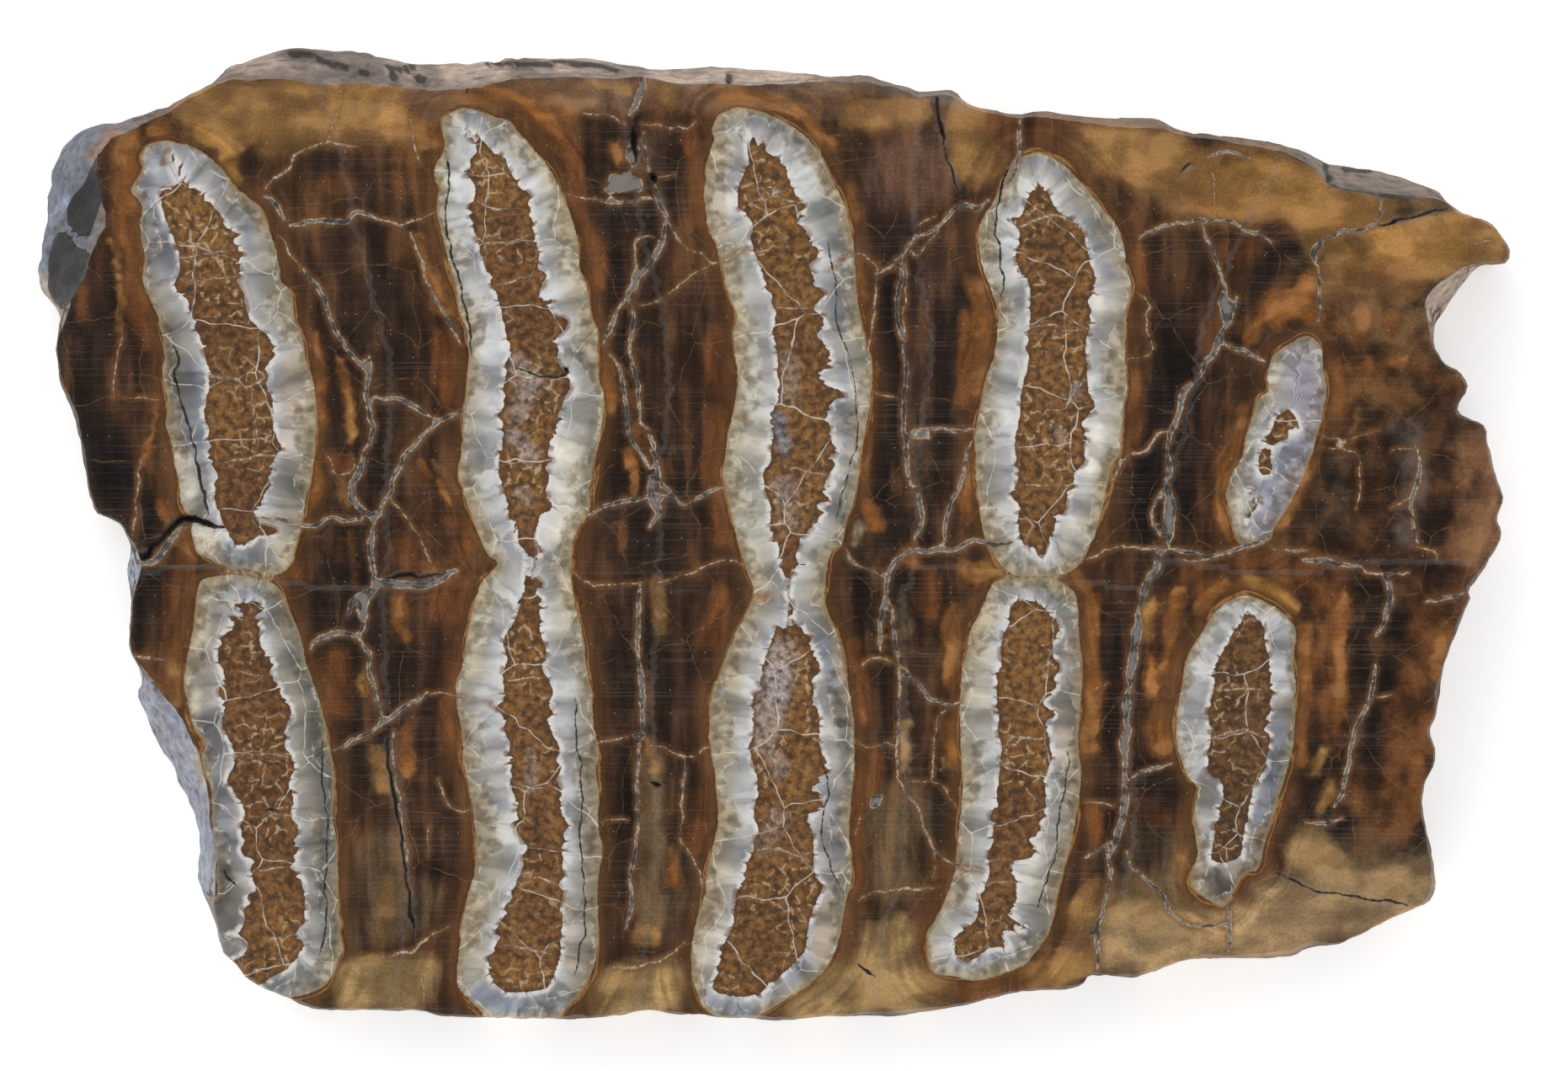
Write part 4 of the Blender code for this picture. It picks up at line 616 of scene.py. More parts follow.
# Broad washes of colour over the cementum: colour, strength, brush radius, and the brush's line
CEMENTUM_WASHES = [
    ("umber", 0.6, 2.6, [(24.4, 50), (24.4, 20)]), ("umber", 0.6, 2.4, [(45, 50), (45, 20)]),
    ("umber", 0.6, 2.6, [(64.6, 50), (64, 24)]), ("umber", 0.6, 2.2, [(84.4, 50), (83, 20)]),
    ("amber", 0.9, 2.4, [(13, 67.6), (20, 68), (29, 68.6)]),
    ("amber", 0.7, 1.5, [(17, 65.8), (24, 66.4), (28, 66.4)]),
    ("chestnut", 0.7, 1.4, [(27.6, 62.5), (28.4, 65.5), (30, 69)]),
    ("chestnut", 0.8, 1.4, [(46.3, 68.8), (49.5, 68.3), (51, 69)]),
    ("plum", 0.8, 1.8, [(46.8, 65), (47, 60.5)]), ("amber", 0.9, 1.3, [(61.5, 67.2), (65.6, 67.4)]),
    ("sorrel", 0.9, 3.2, [(64, 62.5), (66, 63.4)]), ("plum", 0.7, 2, [(63, 60), (66.5, 56)]),
    ("amber", 0.9, 1.7, [(69.4, 67), (69.4, 65), (70.4, 63.6)]),
    ("chestnut", 0.8, 1.2, [(71.4, 66.6), (76, 66.5)]),
    ("bark", 0.8, 1.3, [(74.6, 66), (78, 65), (80.4, 61.4), (82, 59)]),
    ("amber", 0.95, 2.6, [(80.4, 65.2), (84, 63.6), (86, 62.2)]),
    ("amber", 0.95, 2.8, [(89, 62.4), (94, 61.8), (98, 60.6)]),
    ("chestnut", 0.6, 1, [(85, 61.4), (87.2, 60.8), (93.4, 59)]),
    ("amber", 0.9, 2.6, [(97.5, 57), (102, 57.4), (107.5, 58)]),
    ("honey", 0.35, 2.4, [(88, 62.6), (94, 61.6), (98.6, 58.4), (105, 58.4)]),
    ("amber", 0.8, 1.3, [(96.4, 54.2), (99, 54.4), (102, 54.8)]),
    ("copper", 0.7, 0.8, [(90.2, 51.6), (92.4, 53.6), (95.2, 52.8)]),
    ("chestnut", 0.8, 1.6, [(98, 54.4), (101.6, 54.6)]), ("umber", 0.8, 2.2, [(84.4, 57), (87, 57.4)]),
    ("chestnut", 0.7, 1.2, [(88.6, 57), (90, 57.4)]), ("chestnut", 0.8, 1.5, [(92.6, 53), (94, 54.6)]),
    ("bark", 0.7, 1.4, [(85.6, 54), (86.4, 50.6)]),
    ("coal", 0.8, 2, [(86.6, 47.6), (86.4, 42), (86.2, 38)]),
    ("coal", 0.8, 1.2, [(83.4, 47), (83, 40), (82.6, 36.6)]),
    ("bark", 0.7, 1, [(88, 46), (87.4, 40), (87, 36.4)]), ("nut", 0.8, 3.4, [(99, 51), (102, 47)]),
    ("umber", 0.7, 1.8, [(104, 48), (105.4, 45)]),
    ("chestnut", 0.7, 1.8, [(97.4, 52), (97.4, 47), (97, 44.6)]),
    ("moss", 0.7, 1.4, [(96.6, 41), (96.6, 37)]), ("bark", 0.7, 1.2, [(99.4, 43), (99.2, 36.4)]),
    ("coal", 0.6, 1.8, [(101.4, 44), (102, 40), (101.8, 34.6)]),
    ("bark", 0.8, 2, [(93, 34), (98, 34.4)]), ("coal", 0.7, 1, [(104, 42.6), (104.4, 38), (104, 33)]),
    ("clay", 0.6, 1.6, [(106.8, 43), (107.6, 39), (107, 35)]),
    ("crust", 0.35, 1, [(102, 44), (102.4, 40), (102, 36)]),
    ("chestnut", 0.8, 1.8, [(86.6, 32.6), (91, 33.4), (96, 33)]),
    ("umber", 0.8, 1.6, [(98.6, 31), (98.6, 26)]),
    ("coal", 0.8, 1.4, [(100.6, 30), (100.4, 23), (99.6, 18)]),
    ("chestnut", 0.8, 2, [(104.4, 29.6), (103, 24), (102, 17)]),
    ("chestnut", 0.8, 1.4, [(96, 31), (96, 25), (95.6, 22)]),
    ("chestnut", 0.7, 1.2, [(84.6, 31), (84, 26), (83.4, 22)]),
    ("coal", 0.8, 1.2, [(82.2, 18.6), (85, 17.6)]), ("moss", 0.8, 2, [(82, 13), (84.6, 12)]),
    ("olive", 0.8, 1.6, [(81.8, 10), (85, 10)]), ("tan", 0.95, 2.6, [(81, 6.6), (86, 5.4), (92, 7)]),
    ("straw", 0.95, 2.6, [(92, 7.6), (99, 9.2), (105, 10)]),
    ("tan", 0.7, 1.8, [(94.6, 12.4), (96, 11.6)]), ("chestnut", 0.7, 1.6, [(98.4, 17.4), (100.6, 14)]),
    ("moss", 0.7, 1.2, [(97.4, 13.4), (101, 12.4), (103.4, 12)]),
    ("tan", 0.9, 2, [(24, 2.6), (28, 2.8)]), ("tan", 0.9, 1.8, [(43.4, 2), (47, 2.6)]),
    ("tan", 0.9, 2.2, [(58, 1.4), (63, 3), (66.4, 1.8)]), ("tan", 0.8, 1.4, [(62.4, 6), (64.4, 6.4)]),
    ("chestnut", 0.8, 1, [(67, 2), (70, 2.2), (73, 3)]), ("amber", 0.9, 1.2, [(75, 3.2), (78, 4.4)]),
    ("amber", 0.7, 0.9, [(76.4, 6), (77.6, 8), (79, 10)]), ("olive", 0.8, 2, [(64, 16), (64, 10.6)]),
    ("moss", 0.8, 1, [(67, 16.4), (66.6, 13.4)]), ("olive", 0.85, 0.9, [(46, 19), (46, 12), (45.8, 7)]),
    ("moss", 0.7, 1.4, [(48, 12), (47.6, 7)]), ("olive", 0.8, 1.6, [(26, 13), (26.4, 8), (29, 9)]),
    ("moss", 0.6, 1.6, [(24.8, 12), (25, 7)]), ("coal", 0.7, 1.8, [(48.2, 42.4), (48.4, 35.6)]),
    ("plum", 0.7, 1.8, [(67.4, 55), (67, 48)]),
    ("coal", 0.9, 0.9, [(63.3, 54), (63.2, 48), (63.4, 41), (63.6, 36)]),
    ("moss", 0.8, 0.6, [(65.8, 46), (65.8, 42), (66, 38)]),
    ("umber", 0.7, 1.4, [(67.6, 45), (67.4, 38)]), ("coal", 0.8, 1, [(62, 32.4), (62.2, 28)]),
    ("coal", 0.8, 0.8, [(63.2, 25.6), (63.2, 21.6)]), ("umber", 0.7, 1, [(66, 24), (65.9, 19)]),
    ("coal", 0.85, 2.2, [(3.4, 51), (4.2, 46), (5.4, 40.6)]),
    ("bark", 0.8, 1, [(8.6, 49.6), (8.2, 45), (9, 40)]), ("coal", 0.9, 1.4, [(8.2, 32.6), (8.2, 29.4)]),
    ("chestnut", 0.8, 1, [(10.8, 33.6), (10.7, 29), (10.4, 24.6)]),
    ("coal", 0.7, 2.2, [(22.4, 33.6), (22.2, 30.4)]),
    ("umber", 0.7, 2.2, [(23.6, 57), (26, 54), (28, 50)]),
    ("umber", 0.8, 1.8, [(20.6, 62), (24.6, 62.4), (26.8, 61.6)]),
    ("umber", 0.8, 1.6, [(30.4, 14), (30.8, 11.6)]),
    ("coal", 0.8, 0.9, [(43.5, 19.6), (43.5, 12), (43.4, 9)]),
    ("coal", 0.7, 1.6, [(43.6, 59.6), (45.6, 59.2)]), ("coal", 0.7, 0.8, [(43, 57), (42.8, 53.4)]),
    ("umber", 0.7, 1.4, [(43, 42), (42.4, 37)]),
    ("coal", 0.55, 1.8, [(43.4, 50), (44.4, 46), (46.6, 40)]),
    ("coal", 0.5, 2, [(84.4, 52), (85, 46), (84.4, 38)]),
    ("umber", 0.6, 1.4, [(94, 50), (96.4, 44), (95.4, 38)]),
    ("coal", 0.8, 0.7, [(80.2, 32), (80.3, 26), (80.1, 19)]), ("nut", 0.4, 1.8, [(19, 63), (21, 59.6)]),
    ("nut", 0.4, 1.8, [(29, 64), (28, 57)]),
    ("hazel", 0.85, 1.3, [(29, 68.8), (34, 69), (42, 69), (50, 68.9), (60, 68.6)]),
    ("crust", 0.8, 0.6, [(56, 69.9), (60, 69.7), (64, 69.2), (69, 68.4)]),
    ("straw", 0.8, 2.2, [(81, 6), (86, 6), (93, 7.6)]), ("umber", 0.6, 1, [(94.8, 25), (94.6, 18)]),
    ("coal", 0.35, 2.2, [(24, 49), (24, 22)]), ("coal", 0.35, 2.2, [(44.6, 53), (45, 24)]),
    ("coal", 0.4, 2.2, [(62.6, 52), (63, 28)]), ("coal", 0.35, 2, [(84.6, 52), (82.4, 24)]),
    ("coal", 0.35, 2, [(95.8, 46), (96.4, 36)]), ("coal", 0.9, 1.7, [(5, 43), (6.6, 40), (7.8, 37)]),
    ("nut", 0.4, 1.4, [(49.4, 64), (49.6, 57)]), ("nut", 0.6, 1, [(57, 69.2), (62, 69)]),
    ("olive", 0.4, 2.2, [(99, 53), (104, 51)]), ("chestnut", 0.5, 1.4, [(104, 50), (105.4, 47)]),
]

# Smaller streaks and spots in the cementum
CEMENTUM_STREAKS = [
    ("copper", 0.8, 0.9, [(6.6, 60.4), (7, 62.4), (6.8, 64.2), (7.3, 65.6)]),
    ("copper", 0.8, 0.5, [(8.8, 66.2), (10.2, 66.3)]), ("coal", 0.8, 0.35, [(8, 65.8), (8.4, 64.8)]),
    ("rust", 0.85, 0.7, [(7.2, 58.8), (7.5, 56), (7.8, 53), (8.6, 50.4)]),
    ("honey", 0.6, 0.16, [(6.1, 58), (6.3, 55.6), (6.7, 53), (6.6, 51)]),
    ("copper", 0.7, 0.16, [(9.3, 46), (9.1, 44), (8.8, 43.3), (8.2, 42.7), (8, 41.6)]),
    ("honey", 0.8, 0.45, [(12.6, 65.9), (14.2, 65.2), (15.4, 64.7)]),
    ("honey", 0.7, 0.5, [(14.3, 64.2), (15.2, 62.6)]), ("bark", 0.8, 0.3, [(14.6, 64), (16.6, 64.9)]),
    ("chestnut", 0.7, 0.9, [(22.2, 62.4), (23, 62.6)]),
    ("chestnut", 0.7, 0.5, [(3.7, 54.2), (4, 52.4)]), ("copper", 0.8, 0.5, [(9.6, 38), (10.4, 37.6)]),
    ("copper", 0.8, 0.7, [(10.8, 35.6), (11.6, 35)]), ("amber", 0.6, 0.5, [(10.5, 26.4), (10.8, 23.8)]),
    ("copper", 0.7, 0.35, [(20.9, 51), (21.3, 48), (21.4, 45), (21.1, 41.6), (20.7, 38.2)]),
    ("copper", 0.8, 0.3, [(22.8, 49), (23.3, 45.4)]),
    ("honey", 0.7, 0.25, [(23.3, 45.4), (23.7, 43.4)]),
    ("rust", 0.8, 0.7, [(22.6, 41.8), (23.4, 41.4)]),
    ("amber", 0.7, 0.35, [(23.1, 40.2), (23.4, 38.4)]),
    ("bark", 0.7, 0.6, [(22.4, 35.6), (22.7, 34.6)]), ("rust", 0.8, 0.5, [(19, 34.2), (19.4, 33)]),
    ("chestnut", 0.7, 0.25, [(23.6, 36), (24, 32.4)]), ("rust", 0.7, 0.9, [(22.2, 26.6), (22.9, 23)]),
    ("honey", 0.8, 0.4, [(24.5, 25.6), (24.7, 24.8)]),
    ("amber", 0.8, 0.5, [(25.8, 19.6), (25.9, 17.6)]), ("amber", 0.5, 0.7, [(26.2, 10.6), (26, 6.2)]),
    ("copper", 0.8, 0.55, [(27.5, 21.4), (27.6, 18.8)]),
    ("copper", 0.7, 0.4, [(27.2, 31.6), (27.7, 28.6)]),
    ("chestnut", 0.8, 0.9, [(27.2, 35.2), (28.2, 34.2)]),
    ("copper", 0.8, 0.2, [(28.8, 41.6), (30, 39.6), (31.2, 38.6)]),
    ("amber", 0.5, 0.25, [(29.8, 41.8), (31.4, 39.4)]),
    ("copper", 0.8, 0.45, [(28.6, 58), (29.6, 55.4), (30.6, 52.8)]),
    ("copper", 0.7, 0.8, [(28.6, 66.8), (29.6, 65)]), ("rust", 0.6, 0.6, [(26.9, 62.8), (27.2, 62)]),
    ("copper", 0.9, 0.8, [(32.2, 68.8), (35, 68.5), (37.6, 67.2), (39.2, 65.2)]),
    ("rust", 0.7, 0.7, [(36.8, 69), (39.6, 67.4)]),
    ("umber", 0.6, 0.16, [(35, 68), (37, 67), (39, 65)]),
    ("rust", 0.8, 0.6, [(39.8, 64.4), (40.4, 61.8), (41.2, 58.6)]),
    ("amber", 0.5, 0.3, [(40, 69.3), (44, 69.4)]), ("amber", 0.7, 0.5, [(47.2, 69), (47.2, 67.9)]),
    ("rust", 0.8, 0.7, [(48.8, 65.6), (49.2, 62), (49.4, 59.4)]),
    ("copper", 0.6, 0.4, [(43.2, 64.6), (43.6, 63.8)]),
    ("rust", 0.7, 0.5, [(41.6, 58.4), (42.4, 54.6)]),
    ("copper", 0.8, 0.4, [(42.8, 48.4), (42.9, 45.6)]),
    ("copper", 0.9, 0.4, [(44.3, 42.4), (44.7, 40.4), (44.6, 39.2)]),
    ("rust", 0.8, 0.45, [(44.9, 44), (45.2, 43.2)]),
    ("chestnut", 0.8, 0.4, [(43.5, 36.4), (43.6, 35.4)]),
    ("amber", 0.7, 0.55, [(46.1, 32.6), (46.3, 31), (46.5, 29.6)]),
    ("honey", 0.5, 0.25, [(46, 20.6), (46.3, 18.4)]), ("amber", 0.6, 0.7, [(45.2, 6.4), (46, 6)]),
    ("copper", 0.7, 0.5, [(47.4, 12.4), (47.4, 10.6)]),
    ("rust", 0.7, 0.8, [(49.4, 16.4), (49.3, 13.4)]),
    ("rust", 0.7, 0.9, [(50.8, 45), (50.5, 41), (51.2, 36.4)]),
    ("rust", 0.7, 0.8, [(50.8, 51), (51, 47)]), ("rust", 0.6, 0.9, [(50.9, 31.4), (50.2, 28.4)]),
    ("rust", 0.7, 0.8, [(30.8, 50.4), (30.6, 46.6)]),
    ("rust", 0.7, 0.9, [(32, 36.4), (31.4, 33.4), (30.6, 30)]),
    ("copper", 0.6, 0.6, [(29.6, 33.8), (31.6, 32.6)]),
    ("rust", 0.7, 0.6, [(31, 27), (30.9, 24), (31.2, 20)]),
    ("copper", 0.8, 0.5, [(51.4, 68.8), (53.6, 68.7), (55.6, 68), (57.6, 66.6), (58.9, 65.2)]),
    ("copper", 0.6, 0.35, [(60.6, 62), (61.2, 59.6)]),
    ("copper", 0.8, 0.35, [(61.3, 56.2), (61.7, 53), (62, 50.6)]),
    ("copper", 0.8, 0.28, [(62.4, 48.4), (62, 44.6), (61.5, 40.6)]),
    ("copper", 0.8, 0.6, [(62.2, 38.2), (62.4, 37.2)]),
    ("ochre", 0.6, 0.3, [(60.6, 35.8), (61.2, 36.9)]),
    ("copper", 0.8, 0.6, [(70, 55), (70.6, 51.4), (70.1, 47)]),
    ("rust", 0.7, 0.6, [(69.3, 52), (69.2, 46)]),
    ("copper", 0.8, 0.35, [(69.6, 42.2), (69.4, 39.4), (69.8, 37.2)]),
    ("honey", 0.8, 0.5, [(70.4, 33.6), (71.6, 33.4)]), ("copper", 0.8, 0.5, [(69.2, 33.8), (70.2, 33)]),
    ("copper", 0.7, 0.7, [(65.1, 34.6), (65.2, 33.8)]), ("olive", 0.7, 0.5, [(64.8, 31.4), (64.8, 29)]),
    ("rust", 0.7, 0.6, [(66.4, 33.4), (66.5, 30.6)]),
    ("copper", 0.7, 0.7, [(68.2, 30.6), (68.2, 27.6), (67.8, 25.4)]),
    ("rust", 0.8, 0.5, [(61.3, 28), (61.7, 22.4)]),
    ("tan", 0.9, 0.36, [(64.8, 22.2), (64.9, 20.2), (64.8, 18.7)]),
    ("copper", 0.7, 0.6, [(67.8, 21.8), (68.2, 19.2)]),
    ("honey", 0.7, 0.2, [(67.2, 19.6), (67.4, 18.4)]),
    ("chestnut", 0.7, 0.7, [(62.4, 19.6), (62.2, 17.6)]),
    ("rust", 0.7, 0.5, [(61.2, 18.4), (61, 15.6), (61.2, 12), (61.4, 9.8)]),
    ("rust", 0.7, 0.4, [(67.3, 12.4), (67.6, 10.8)]), ("bark", 0.7, 0.6, [(65.8, 8.4), (65.6, 5.4)]),
    ("copper", 0.8, 0.5, [(77.4, 33.2), (78.2, 32.4)]),
    ("copper", 0.8, 0.55, [(78.6, 31.4), (78.7, 27), (78.5, 20.4)]),
    ("coal", 0.8, 0.7, [(79, 17.4), (80, 17.2)]),
    ("coal", 0.7, 0.45, [(75.9, 6), (76.9, 9.4), (77.6, 12.6)]),
    ("rust", 0.7, 0.5, [(78.6, 15.6), (78.8, 13.6)]),
    ("rust", 0.8, 0.5, [(81.8, 47.6), (82, 44.6), (81.4, 41.6)]),
    ("rust", 0.7, 0.6, [(82, 57), (82.2, 54.4)]),
    ("coal", 0.8, 0.7, [(89, 50.8), (90.2, 53), (91.4, 55.6), (93.4, 57.2)]),
    ("copper", 0.7, 0.7, [(92.4, 52.6), (94.2, 54), (94.7, 55)]),
    ("moss", 0.7, 0.7, [(93.4, 56.4), (95, 56.6)]), ("amber", 0.7, 0.5, [(96, 56), (96.6, 55.5)]),
    ("copper", 0.7, 0.5, [(98.5, 52.8), (98.6, 51.6)]),
    ("copper", 0.7, 0.5, [(100.7, 52.3), (101.1, 51.4)]),
    ("copper", 0.7, 0.4, [(101.4, 49.3), (102, 49.1)]),
    ("copper", 0.6, 0.4, [(98.9, 49.8), (99.2, 49)]), ("copper", 0.7, 0.4, [(96.5, 48.4), (97, 45.4)]),
    ("amber", 0.5, 0.25, [(98.8, 45.6), (98, 43.6)]),
    ("moss", 0.8, 0.5, [(100.6, 59.9), (103, 60.2), (105.4, 60.7)]),
    ("olive", 0.6, 0.6, [(102, 61), (104, 61)]),
    ("copper", 0.8, 0.4, [(95, 42), (94.3, 40), (93.2, 38), (92.6, 36.8)]),
    ("copper", 0.8, 0.4, [(90, 45.6), (89.4, 43), (88.5, 41), (88.1, 38.4), (88.7, 36)]),
    ("honey", 0.8, 0.45, [(90.4, 32.5), (92.4, 32), (93.5, 30.8)]),
    ("copper", 0.7, 0.5, [(88.6, 32.4), (86.6, 30.6)]),
    ("copper", 0.8, 0.35, [(85, 32), (84.6, 29), (83.9, 26)]),
    ("honey", 0.8, 0.4, [(83, 30.8), (82.8, 28.6)]), ("copper", 0.8, 0.8, [(83.8, 22.6), (83.9, 20.4)]),
    ("copper", 0.7, 0.4, [(82.8, 27), (83.1, 24.4)]),
    ("chestnut", 0.9, 0.8, [(82.6, 15.8), (83.4, 15.2)]),
    ("copper", 0.5, 0.35, [(85, 12.6), (85.4, 9.4)]),
    ("copper", 0.7, 0.45, [(94.4, 29), (94.5, 24), (94.1, 19.6)]),
    ("copper", 0.6, 0.5, [(97, 31.6), (97.2, 26), (96.6, 22.6)]),
    ("coal", 0.8, 0.6, [(95.7, 21.8), (94.4, 17.6), (93.4, 15.4)]),
    ("amber", 0.9, 0.4, [(95.7, 20), (94.9, 18.6)]), ("amber", 0.7, 0.5, [(95.6, 15.6), (96.3, 17.4)]),
    ("coal", 0.95, 0.85, [(97.7, 14.2), (98.3, 14)]), ("copper", 0.5, 0.5, [(102.6, 20), (102.6, 15)]),
    ("copper", 0.5, 0.5, [(105.4, 29.4), (104.4, 26)]),
    ("coal", 0.6, 0.4, [(88.6, 64), (92, 64.4), (95, 63.7)]),
    ("bark", 0.7, 0.7, [(98, 58), (98.3, 57.4)]),
    ("umber", 0.6, 0.5, [(95, 50.8), (97, 49.9), (99.6, 50)]),
    ("olive", 0.4, 0.4, [(84.6, 5), (90, 5), (94.4, 5.5)]),
]

